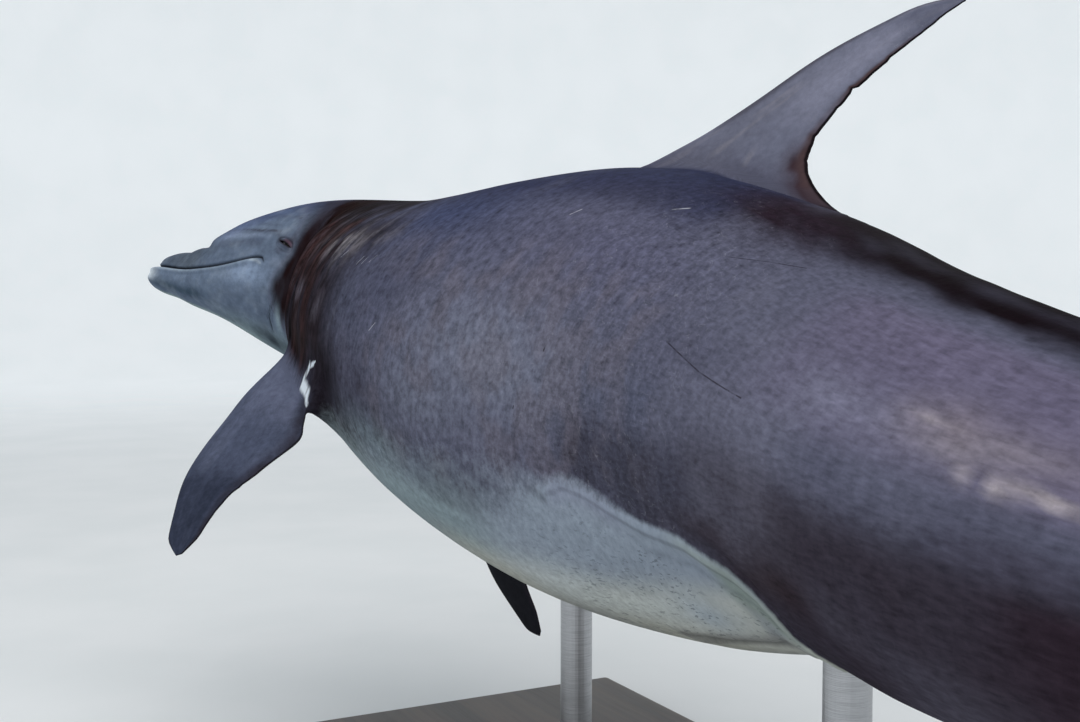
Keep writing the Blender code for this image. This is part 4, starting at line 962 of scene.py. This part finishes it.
def add_eye(side):
    u0, u1 = 0.3365, 0.3905
    rows = ROWS[ring_near(EYE_STATION)]
    r0, r1 = int(np.abs(np.degrees(rows) - 66.5).argmin()), int(np.abs(np.degrees(rows) - 85.3).argmin())
    r1 += (r1 - r0) % 2
    where = (u0, u1, HALF + r0, HALF + r1) if side > 0 else (u0, u1, HALF - r1, HALF - r0)
    i, j, along, across = hole(*where)
    n = len(i)
    p0, back, down, out, per_radian = eye_frame(side)
    xs = (U_GRID[i, j] - EYE_STATION)
    ys = per_radian * (np.abs(THETA[i, j]) - math.radians(EYE_ANGLE))
    # rectangle's edge in the opening's own axes, and the point of the lids that each point goes to
    rx, ry = xs * math.cos(TILT) + ys * math.sin(TILT), -xs * math.sin(TILT) + ys * math.cos(TILT)
    psi = np.arctan2(ry / np.abs(ry).max(), rx / np.abs(rx).max())
    ax = LID_HALF * np.cos(psi)
    ay = np.where(np.sin(psi) < 0, LID_UP, LID_LOW) * np.sin(psi) * np.abs(np.sin(psi)) ** 0.35
    upper = smooth(-np.sin(psi), -0.15, 0.35)

    def ball_height(x, y):
        return np.sqrt(np.maximum(EYE_RADIUS**2 - x**2 - y**2, 0)) - EYE_DEPTH

    def place(x, y, lift):
        """Local axes of the opening to the straight frame: on the skin, lifted along its normal."""
        lx, ly = x * math.cos(TILT) - y * math.sin(TILT), x * math.sin(TILT) + y * math.cos(TILT)
        u, t = EYE_STATION + lx, side * (math.radians(EYE_ANGLE) + ly / per_radian)
        base = straight_point(u, t)
        return base + out * lift[..., None], u, t

    rings, stationed, angled, depth, share = [], [], [], [], []
    outer = 15
    for k in range(1, outer + 1):
        e = 1 - (1 - k / outer) ** 1.55
        x, y = rx * (1 - e) + ax * e, ry * (1 - e) + ay * e
        away = np.hypot(x - ax, y - ay)
        rim = np.maximum(ball_height(ax, ay), -0.0006) + 0.0010 * upper + 0.0005
        lift = rim * bell(away, 0.0085)
        lift = lift + upper * (0.0010 * bell(away - 0.0026, 0.0026) - 0.0012 * bell(away - 0.0066, 0.0016) + 0.0005 * bell(away - 0.0105, 0.0028))
        lift = lift + (1 - upper) * (0.0004 * bell(away - 0.0020, 0.0014) - 0.0007 * bell(away - 0.0050, 0.0012) - 0.0007 * bell(away - 0.0082, 0.0012) - 0.0005 * bell(away - 0.0112, 0.0012))
        ends = bell((np.abs(x) - 0.0215) / 0.0060, 1) * bell(y / 0.0016, 1)
        lift = lift - 0.0012 * ends
        lift = lift * (1 - smooth(1 - e, 0.80, 1.0))
        p, u, t = place(x, y, lift)
        rings.append(p), stationed.append(u), angled.append(t), depth.append(away), share.append(0.55 * e)
    # the lids' edge, then the lining down to and inside the eyeball
    for q, (shrink, drop) in enumerate(((0.965, -0.0006), (0.93, -0.0016), (0.86, None), (0.76, None), (0.62, None), (0.45, None), (0.25, None))):
        x, y = ax * shrink, ay * (shrink if q > 1 else 1 - (1 - shrink) * 2.2)
        rim = np.maximum(ball_height(ax, ay), -0.0006) + 0.0010 * upper + 0.0005
        floor = -0.0016 - 0.10 * (LID_HALF - np.abs(x))
        if drop is not None:
            lift = np.maximum(rim + drop, ball_height(x, y) + 0.0001)
            lift = np.where(np.abs(ax) > 0.0130, rim + drop * 1.6, lift)
        else:
            lift = np.maximum(ball_height(x, y) - 0.0011, floor)
            lift = np.where(np.hypot(x, y) < 0.0095, ball_height(x, y) - 0.0020, lift)
        p, u, t = place(x, y, lift)
        rings.append(p), stationed.append(u), angled.append(t), depth.append(np.full(n, -1e-3 * (q + 1))), share.append(0.55 + 0.45 * (1 - shrink) * 0.95)
    P, U, T, D = (np.array(v) for v in (rings, stationed, angled, depth))
    lookup = body_look(U.ravel(), T.ravel(), P.reshape(-1, 3))
    rim_dark = bell(np.maximum(D, 0).ravel(), 0.0016)
    inner = (D.ravel() < 0).astype(float)
    lx = np.tile(ax, len(rings))
    d0, above = D.ravel(), np.tile(upper, len(rings))
    outside = (1 - inner)
    up = mix(lookup["up"], srgb(40, 32, 38), 0.80 * bell(np.maximum(d0, 0), 0.0021) * outside)
    up = mix(up, srgb(88, 68, 80), 0.70 * bell(d0 - 0.0030, 0.0024) * above * smooth(lx, -0.009, 0.004) * outside)
    up = mix(up, srgb(98, 66, 78), 0.28 * bell(d0 - 0.0026, 0.0016) * above * smooth(lx, 0.003, 0.008) * outside)
    up = mix(up, srgb(36, 33, 42), 0.62 * bell(d0 - 0.0064, 0.0014) * above * outside)
    up = mix(up, srgb(118, 128, 144), 0.10 * bell(d0 - 0.0110, 0.0024) * outside)
    up = mix(up, srgb(50, 50, 60), 0.30 * (bell(d0 - 0.0050, 0.0013) + bell(d0 - 0.0084, 0.0013)) * (1 - above) * outside)
    up = mix(up, srgb(40, 24, 27), inner * (0.60 + 0.3 * smooth(lx, 0.003, 0.011)))
    up = mix(up, srgb(10, 7, 9), inner * (1 - 0.4 * smooth(lx, 0.004, 0.012)) * 0.94)
    lookup["up"], lookup["low"] = up, up
    lookup["wet"] = inner
    idx = skin.add(bend(P.reshape(-1, 3)), straight=P.reshape(-1, 3), station=U.ravel(), angle=T.ravel(), **lookup).reshape(len(rings), n)
    close = lambda a: np.concatenate([a, a[:, :1]], 1)
    uv_edge = BODY_UV[i, j]
    uv_mid = uv_edge.mean(0)
    f = np.array([0] + share)[:, None, None]
    uv = uv_edge[None] * (1 - f) + uv_mid * f
    ring = np.concatenate([GRID[i, j][None], idx], 0)
    skin.quads(close(ring), close(uv))
    p, u, t = place(np.array([0.0]), np.array([0.0]), np.array([-0.004]))
    c = body_look(u, t, p)
    mid = skin.add(bend(p), straight=p, station=u, angle=t, **c)
    skin.fan(close(idx[-1:])[0], close(uv[-1:])[0], mid[0], uv_mid)


for sign in (1, -1):
    add_eye(sign)

skin.quads(GRID, BODY_UV, keep=KEEP)
for k, flip in ((0, False), (-1, True)):
    p = body_straight[k, :-1].mean(0)
    u = np.array([RINGS[k]])
    t = np.array([math.radians(100.0 if k == 0 else 90.0)])
    c = body_look(u, t, p[None])
    mid = skin.add(bend(p[None]), straight=p[None], station=u, angle=t, **c)
    skin.fan(GRID[k][::-1], BODY_UV[k][::-1], mid[0], BODY_UV[k].mean(0), flip=flip)


# ------------------------------------------------------------------ the object
def build_skin():
    keys = [k for k in skin.blocks[0][1]]
    pos = to_world(np.concatenate([b[0] for b in skin.blocks]))
    props = {k: np.concatenate([np.asarray(b[1][k], float) for b in skin.blocks]) for k in keys}
    used = np.zeros(len(pos), bool)
    used[np.fromiter((v for f in skin.faces for v in f), int)] = True
    remap = np.cumsum(used) - 1
    faces = [tuple(int(remap[v]) for v in f) for f in skin.faces]
    mesh = bpy.data.meshes.new("skin")
    mesh.from_pydata(pos[used].tolist(), [], faces)
    uv = mesh.uv_layers.new(name="OFBake")
    uv.data.foreach_set("uv", np.concatenate(skin.uvs).astype(np.float32).ravel())
    for k, v in props.items():
        v = v[used]
        if v.ndim == 2 and k in ("up", "low"):
            a = mesh.attributes.new(k, "FLOAT_COLOR", "POINT")
            a.data.foreach_set("color", np.concatenate([np.clip(v, 0, 1), np.ones((len(v), 1))], 1).astype(np.float32).ravel())
        elif v.ndim == 2:
            a = mesh.attributes.new(k, "FLOAT_VECTOR", "POINT")
            a.data.foreach_set("vector", v.astype(np.float32).ravel())
        else:
            a = mesh.attributes.new(k, "FLOAT", "POINT")
            a.data.foreach_set("value", v.astype(np.float32))
    place = np.stack([props["station"], radius(np.clip(props["station"], 0, BODY_END)) * props["angle"], np.zeros(len(pos))], -1)
    for where, coords in FIN_CHARTS:
        place[where] = coords
    place = place[used]
    a = mesh.attributes.new("place", "FLOAT_VECTOR", "POINT")

    a.data.foreach_set("vector", place.astype(np.float32).ravel())
    mesh.polygons.foreach_set("use_smooth", np.ones(len(mesh.polygons), bool))
    mesh.update()
    obj = bpy.data.objects.new("skin", mesh)
    bpy.context.scene.collection.objects.link(obj)
    return obj


skin_object = build_skin()


# ================================================================== materials
class Shader:
    """A material, its nodes added by short calls."""

    def __init__(self, name):
        self.material = bpy.data.materials.new(name)
        self.material.use_nodes = True
        self.tree = self.material.node_tree
        self.tree.nodes.clear()
        self.out = self.tree.nodes.new("ShaderNodeOutputMaterial")
        self.bsdf = self.tree.nodes.new("ShaderNodeBsdfPrincipled")
        self.tree.links.new(self.bsdf.outputs[0], self.out.inputs["Surface"])

    def put(self, socket, value):
        if isinstance(value, bpy.types.NodeSocket):
            self.tree.links.new(value, socket)
        elif socket.type == "RGBA":
            socket.default_value = (*[float(v) for v in value[:3]], 1.0)
        elif hasattr(value, "__len__"):
            socket.default_value = tuple(float(v) for v in value)
        else:
            socket.default_value = float(value)

    def node(self, kind, props=None, **inputs):
        n = self.tree.nodes.new("ShaderNode" + kind)
        for k, v in (props or {}).items():
            setattr(n, k, v)
        for k, v in inputs.items():
            self.put(n.inputs[k.replace("_", " ")], v)
        return n

    def attr(self, name, out="Fac"):
        return self.node("Attribute", dict(attribute_name=name)).outputs[out]

    def math(self, op, a, b=0.0, c=0.0, clamp=False):
        n = self.node("Math", dict(operation=op, use_clamp=clamp))
        for s, v in zip(n.inputs, (a, b, c)):
            self.put(s, v)
        return n.outputs[0]

    def vec(self, op, a, b=None, out=0):
        n = self.node("VectorMath", dict(operation=op))
        self.put(n.inputs[0], a)
        if b is not None:
            self.put(n.inputs["Scale" if op == "SCALE" else 1], b)
        return n.outputs[out]

    def mix(self, f, a, b, blend="MIX"):
        n = self.node("Mix", dict(data_type="RGBA", blend_type=blend))
        for s, v in ((n.inputs[0], f), (n.inputs[6], a), (n.inputs[7], b)):
            self.put(s, v)
        return n.outputs[2]

    def span(self, value, a, b, lo=0.0, hi=1.0, kind="SMOOTHSTEP"):
        n = self.node("MapRange", dict(interpolation_type=kind))
        for s, v in zip(n.inputs, (value, a, b, lo, hi)):
            self.put(s, v)
        return n.outputs[0]

    def noise(self, vector, scale, detail=2.0, rough=0.5, distort=0.0, stretch=None):
        if stretch is not None:
            vector = self.vec("MULTIPLY", vector, stretch)
        n = self.node("TexNoise", Vector=vector, Scale=scale, Detail=detail, Roughness=rough, Distortion=distort)
        return n.outputs[0]

    def cells(self, vector, scale, stretch=None, feature="F1", out=0, random=1.0):
        if stretch is not None:
            vector = self.vec("MULTIPLY", vector, stretch)
        n = self.node("TexVoronoi", dict(feature=feature), Vector=vector, Scale=scale, Randomness=random)
        return n.outputs[out]

    def capsule(self, p, a, b, width, soft=0.6):
        """1 on a short line from a to b, fading at its width."""
        a, b = np.array([*a, 0.0]), np.array([*b, 0.0])
        ab = b - a
        pa = self.vec("SUBTRACT", p, a)
        t = self.math("MULTIPLY", self.vec("DOT_PRODUCT", pa, ab, 1), 1 / max(ab @ ab, 1e-9), clamp=True)
        n = self.node("VectorMath", dict(operation="SCALE"))
        self.put(n.inputs[0], ab)
        self.put(n.inputs["Scale"], t)
        d = self.vec("LENGTH", self.vec("SUBTRACT", pa, n.outputs[0]), out=1)
        return self.span(d, width * (1 + soft), width * (1 - soft))

    def marks(self, p, rows, place):
        """The most of several short lines, taken one after another so that few values are held at once."""
        out = None
        for a, b, width in rows:
            mark = self.capsule(p, place(*a), place(*b), width)
            out = mark if out is None else self.math("MAXIMUM", out, mark)
        return out


def skin_material():
    s = Shader("dolphin_skin")
    P = s.attr("straight", "Vector")
    Q = s.attr("place", "Vector")
    up, low = s.attr("up", "Color"), s.attr("low", "Color")
    streaky, lengthwise, head, fleck, scar, wet = (s.attr(k) for k in ("round", "along", "head", "fleck", "scar", "wet"))
    edge, soft = s.attr("edge"), s.attr("soft")

    # the grain of the skin: mottling down to a fine pale and dark speckle
    grain = s.noise(P, 105, 4.0, 0.72, stretch=(1.0, 0.75, 1.0))
    off = s.math("SUBTRACT", grain, 0.5)

    # the edge of the pale underside, a little uneven
    at = s.math("ADD", edge, s.math("MULTIPLY", off, s.math("ADD", s.math("MULTIPLY", soft, 0.9), 0.0005)))
    low_share = s.span(s.math("DIVIDE", at, soft), -1.0, 1.0)
    colour = s.mix(low_share, up, low)
    # all of the grain scales the colour under it: fine mottling everywhere, short strokes that run round the shoulder and
    # along the fins, and finer ones along the rear
    plain = s.math("MULTIPLY", head, s.math("MULTIPLY_ADD", low_share, -0.45, 1.0))
    above_border = s.math("SUBTRACT", 1.0, low_share)
    round_it = s.math("SUBTRACT", s.noise(Q, 1.0, 3.0, 0.62, 0.3, stretch=(96.0, 38.0, 1.0)), 0.5)
    along = s.noise(P, 1.0, 2.0, 0.5, 0.3, stretch=(310.0, 36.0, 310.0))
    scale = s.math("MULTIPLY_ADD", s.math("MULTIPLY", off, plain), 1.9, 1.0)
    scale = s.math("MULTIPLY_ADD", s.math("MULTIPLY", round_it, s.math("MULTIPLY", streaky, above_border)), 2.3, scale)
    scale = s.math("MULTIPLY_ADD", s.math("MULTIPLY", s.math("SUBTRACT", along, 0.5), s.math("MULTIPLY", lengthwise, above_border)), 0.95, scale)
    colour = s.node("VectorMath", dict(operation="SCALE"), Vector=colour, Scale=s.math("MAXIMUM", scale, 0.35)).outputs[0]

    # a thin dark line that follows the border inside it
    inside_line = s.math("MULTIPLY", s.span(s.math("ABSOLUTE", s.math("SUBTRACT", edge, 0.0100)), 0.0036, 0.0006), s.span(soft, 0.012, 0.004))
    colour = s.mix(s.math("MULTIPLY", inside_line, 0.30), colour, srgb(66, 68, 80))

    # dark flecks of the underside, along the body
    flecks = s.math("MULTIPLY", s.span(along, 0.600, 0.655), s.math("MULTIPLY", fleck, low_share))
    colour = s.mix(s.math("MULTIPLY", flecks, 0.50), colour, srgb(66, 72, 80))

    # small marks of a wild animal: thin scratches, pale and dark
    mark = lambda u, d: tuple(chart(np.array(u), np.array(d)))
    pale = [((0.817, 78.6), (0.824, 75.2), 0.00060), ((0.834, 78.2), (0.840, 75.2), 0.00060), ((0.856, 77.2), (0.866, 74.2), 0.00065),
            ((1.360, 41.2), (1.378, 38.2), 0.00110), ((1.212, 53), (1.220, 50.3), 0.00080), ((0.737, 77), (0.746, 73.6), 0.00080),
            ((0.955, 98), (0.967, 95.4), 0.00060)]
    dark = [((0.821, 79.4), (0.829, 75.6), 0.00070), ((0.845, 78.2), (0.853, 75.0), 0.00070), ((1.612, 78.0), (1.705, 82.0), 0.00052), ((1.705, 82.0), (1.793, 84.0), 0.00045),
            ((1.552, 47), (1.617, 41), 0.00045), ((1.617, 41), (1.673, 36), 0.00055), ((1.352, 91.2), (1.3525, 90.8), 0.0014), ((1.316, 106.2), (1.3165, 105.8), 0.0012)]
    pale_marks = s.marks(Q, pale, mark)
    dark_marks = s.marks(Q, dark, mark)
    broken = s.span(off, -0.10, 0.02, 0.35, 1.0)
    colour = s.mix(s.math("MULTIPLY", s.math("MULTIPLY", dark_marks, broken), 0.75), colour, srgb(24, 18, 22))
    vein = s.noise(Q, 1.0, 1.0, 0.4, 1.0, stretch=(34.0, 80.0, 1.0))
    stray = s.math("MULTIPLY", s.span(s.math("ABSOLUTE", s.math("SUBTRACT", vein, 0.53)), 0.0065, 0.0015), scar)
    pale_all = s.math("MAXIMUM", pale_marks, s.math("MULTIPLY", stray, 0.24))
    colour = s.mix(s.math("MULTIPLY", s.math("MULTIPLY", pale_all, broken), 0.62), colour, srgb(186, 186, 194))

    # a ragged white mark where the left flipper meets the body
    axilla_mark_line = [(0.7480, 117.6), (0.7394, 118.8), (0.7200, 120.7), (0.7100, 124.6), (0.7110, 126.5), (0.7292, 126.5), (0.7434, 126.5), (0.7451, 128.5)]
    axilla_mark_width = (0.0012, 0.0026, 0.0048, 0.0058, 0.0056, 0.0048, 0.0036)
    axilla_mark = s.marks(Q, [(a, b, w) for a, b, w in zip(axilla_mark_line, axilla_mark_line[1:], axilla_mark_width)], mark)
    colour = s.mix(s.math("MULTIPLY", axilla_mark, s.span(round_it, -0.16, -0.03, 0.30, 1.0)), colour, srgb(212, 220, 228))

    s.put(s.bsdf.inputs["Base Color"], colour)
    rough = s.math("MULTIPLY_ADD", grain, 0.26, 0.44)
    rough = s.math("MULTIPLY_ADD", wet, -0.28, rough, clamp=True)
    s.put(s.bsdf.inputs["Roughness"], rough)
    s.put(s.bsdf.inputs["Specular IOR Level"], 0.003)
    bump = s.node("Bump", Strength=0.8, Distance=1.0, Height=s.math("MULTIPLY", grain, 0.00045))
    s.put(s.bsdf.inputs["Normal"], bump.outputs[0])
    return s.material


def eye_material(name, centre, axis, back):
    """A dark eye: black pupil, dark brown ring, and a brown-grey white."""
    s = Shader(name)
    p = s.vec("SUBTRACT", s.node("TexCoord").outputs["Object"], centre)
    n = s.vec("NORMALIZE", p)
    facing = s.vec("DOT_PRODUCT", n, axis, 1)
    along = s.math("MULTIPLY", s.vec("DOT_PRODUCT", n, back, 1), 0.80)
    across = s.math("SQRT", s.math("MAXIMUM", s.math("SUBTRACT", 1.0, s.math("ADD", s.math("POWER", facing, 2.0), s.math("POWER", s.vec("DOT_PRODUCT", n, back, 1), 2.0))), 0.0))
    r = s.math("SQRT", s.math("ADD", s.math("POWER", along, 2.0), s.math("POWER", across, 2.0)))
    rays = s.noise(n, 34, 3.0, 0.6, stretch=(1.0, 1.0, 1.0))
    white = s.mix(s.span(rays, 0.35, 0.65), srgb(22, 15, 17), srgb(34, 25, 27))
    iris = s.mix(s.span(rays, 0.35, 0.65), srgb(18, 12, 10), srgb(32, 21, 16))
    colour = s.mix(s.span(r, 0.44, 0.50), iris, white)
    colour = s.mix(s.math("MULTIPLY", s.span(s.math("ABSOLUTE", s.math("SUBTRACT", r, 0.45)), 0.07, 0.02), 0.7), colour, srgb(14, 9, 9))
    colour = s.mix(s.span(r, 0.29, 0.25), colour, srgb(6, 5, 6))
    s.put(s.bsdf.inputs["Base Color"], colour)
    s.put(s.bsdf.inputs["Roughness"], s.span(rays, 0.3, 0.7, 0.22, 0.30))
    s.put(s.bsdf.inputs["Specular IOR Level"], 0.12)
    s.put(s.bsdf.inputs["Coat Weight"], 0.0)
    s.put(s.bsdf.inputs["Coat Roughness"], 0.15)
    return s.material


def wood_material():
    """The stand's board: dark stained wood with a satin finish, its grain along the length."""
    s = Shader("stand_board")
    p = s.node("TexCoord").outputs["Object"]
    bend_it = s.noise(p, 1.0, 2.0, 0.5, stretch=(3.0, 0.8, 3.0))
    q = s.vec("ADD", p, s.node("CombineXYZ", X=s.math("MULTIPLY", bend_it, 0.06)).outputs[0])
    rings = s.noise(q, 1.0, 4.0, 0.6, 0.4, stretch=(34.0, 0.9, 34.0))
    pores = s.noise(q, 1.0, 3.0, 0.6, stretch=(520.0, 16.0, 520.0))
    colour = s.mix(s.span(rings, 0.36, 0.66), srgb(44, 36, 32), srgb(74, 60, 51))
    colour = s.mix(s.math("MULTIPLY", s.span(pores, 0.50, 0.36), 0.55), colour, srgb(24, 19, 17))
    colour = s.mix(s.math("MULTIPLY", s.span(s.noise(p, 3.0, 2.0), 0.4, 0.7), 0.18), colour, srgb(96, 84, 76))
    s.put(s.bsdf.inputs["Base Color"], colour)
    s.put(s.bsdf.inputs["Roughness"], s.math("ADD", 0.34, s.math("MULTIPLY", pores, 0.22)))
    height = s.math("ADD", s.math("MULTIPLY", pores, 0.00012), s.math("MULTIPLY", rings, 0.00010))
    s.put(s.bsdf.inputs["Normal"], s.node("Bump", Strength=0.7, Distance=1.0, Height=height).outputs[0])
    return s.material


def steel_material():
    """The rods: steel, brushed round."""
    s = Shader("stand_steel")
    p = s.node("TexCoord").outputs["Object"]
    lines = s.noise(p, 1.0, 4.0, 0.7, stretch=(30.0, 30.0, 2600.0))
    broad = s.noise(p, 18, 2.0)
    s.put(s.bsdf.inputs["Base Color"], s.mix(s.span(lines, 0.3, 0.7), srgb(150, 151, 154), srgb(192, 193, 196)))
    s.put(s.bsdf.inputs["Metallic"], 1.0)
    s.put(s.bsdf.inputs["Roughness"], s.math("ADD", 0.26, s.math("ADD", s.math("MULTIPLY", lines, 0.16), s.math("MULTIPLY", broad, 0.08))))
    s.put(s.bsdf.inputs["Normal"], s.node("Bump", Strength=0.5, Distance=1.0, Height=s.math("MULTIPLY", lines, 0.00006)).outputs[0])
    return s.material


skin_object.data.materials.append(skin_material())
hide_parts("head", "lower_jaw", "trunk", "tail_stock", "dorsal_fin", "flipper_left", "flipper_right", "fluke_left", "fluke_right")
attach(skin_object, "root")


def dress(node, material):
    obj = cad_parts[node]
    for slot in obj.material_slots:
        slot.material = material


def eye_axes(side):
    p, back, down, out, _ = eye_frame(side)
    centre = p - out * EYE_DEPTH
    ends = to_world(bend(np.array([centre, centre + out * 1e-3, centre + back * 1e-3])))
    a, b = ends[1] - ends[0], ends[2] - ends[0]
    return ends[0], a / np.linalg.norm(a), b / np.linalg.norm(b)


for side, node in ((1, "eye_left"), (-1, "eye_right")):
    dress(node, eye_material(node + "_glass", *eye_axes(side)))
dress("stand_base", wood_material())
steel = steel_material()
for node in ("stand_rod_front", "stand_rod_rear"):
    dress(node, steel)


# ================================================================== floor, lights and camera
def studio():
    """A pale floor that curves up into a wall far off, all round."""
    profile = [(0.0, 0.0), (2.0, 0.0), (5.0, 0.0), (8.5, 0.0)] + [(8.5 + 2.0 * math.sin(a), 2.0 - 2.0 * math.cos(a)) for a in np.linspace(0.15, math.pi / 2, 10)] + [(10.5, 7.0)]
    n = 96
    verts, faces = [(0.0, 0.0, -0.0005)], []
    for r, z in profile[1:]:
        verts += [(r * math.cos(2 * math.pi * k / n), r * math.sin(2 * math.pi * k / n), z - 0.0005) for k in range(n)]
    faces += [(0, 1 + k, 1 + (k + 1) % n) for k in range(n)]
    for i in range(len(profile) - 2):
        a, b = 1 + i * n, 1 + (i + 1) * n
        faces += [(a + k, b + k, b + (k + 1) % n, a + (k + 1) % n) for k in range(n)]
    mesh = bpy.data.meshes.new("studio_floor")
    mesh.from_pydata(verts, [], faces)
    mesh.polygons.foreach_set("use_smooth", np.ones(len(mesh.polygons), bool))
    obj = bpy.data.objects.new("studio_floor", mesh)
    bpy.context.scene.collection.objects.link(obj)
    s = Shader("floor_pale")
    p = s.node("TexCoord").outputs["Object"]
    s.put(s.bsdf.inputs["Base Color"], s.mix(s.span(s.noise(p, 3.0, 3.0), 0.3, 0.7), srgb(222, 225, 226), srgb(227, 229, 230)))
    s.put(s.bsdf.inputs["Roughness"], 0.8)
    far = s.vec("LENGTH", s.vec("MULTIPLY", p, (1.0, 1.0, 0.0)), out=1)
    s.put(s.bsdf.inputs["Emission Color"], (0.90, 0.94, 0.97))
    s.put(s.bsdf.inputs["Emission Strength"], s.span(far, 1.5, 8.5, 0.02, 0.27))
    mesh.materials.append(s.material)
    obj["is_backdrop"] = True


def area_light(name, place, target, size, power, colour):
    data = bpy.data.lights.new(name, "AREA")
    data.shape, data.size, data.size_y = "RECTANGLE", size[0], size[1]
    data.energy, data.color = power, colour
    obj = bpy.data.objects.new(name, data)
    obj.location = place
    d = np.array(target, float) - np.array(place, float)
    from mathutils import Vector
    obj.rotation_euler = Vector(d).to_track_quat("-Z", "Y").to_euler()
    bpy.context.scene.collection.objects.link(obj)


studio()
area_light("light_overhead", (0.3, 0.2, 3.6), (0.0, 0.0, 0.4), (3.4, 4.4), 58, (1.0, 0.99, 0.97))
area_light("light_camera_side", (2.4, 2.8, 1.9), (0.0, 0.0, 0.5), (2.2, 1.8), 24, (0.96, 0.98, 1.0))
world = bpy.data.worlds.new("pale_air")
world.use_nodes = True
background = next(n for n in world.node_tree.nodes if n.type == "BACKGROUND")
background.inputs["Color"].default_value = (0.90, 0.93, 0.96, 1)
background.inputs["Strength"].default_value = 0.62
bpy.context.scene.world = world

from mathutils import Matrix

camera_data = bpy.data.cameras.new("camera")
camera_data.lens, camera_data.sensor_width, camera_data.sensor_fit = 43.367, 36.0, "HORIZONTAL"
camera = bpy.data.objects.new("camera", camera_data)
camera.matrix_world = Matrix(((-0.886537, -0.021216, 0.462172, 0.575516), (0.462658, -0.041731, 0.885554, 1.116045),
                              (0.000499, 0.998904, 0.046812, 0.598542), (0.0, 0.0, 0.0, 1.0)))
bpy.context.scene.collection.objects.link(camera)
bpy.context.scene.camera = camera
bpy.context.scene.view_settings.view_transform = "Standard"

lists = lambda box: [[float(v) for v in corner] for corner in box]
{"cad": lists(CAD_BOX), "visual": lists(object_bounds())}
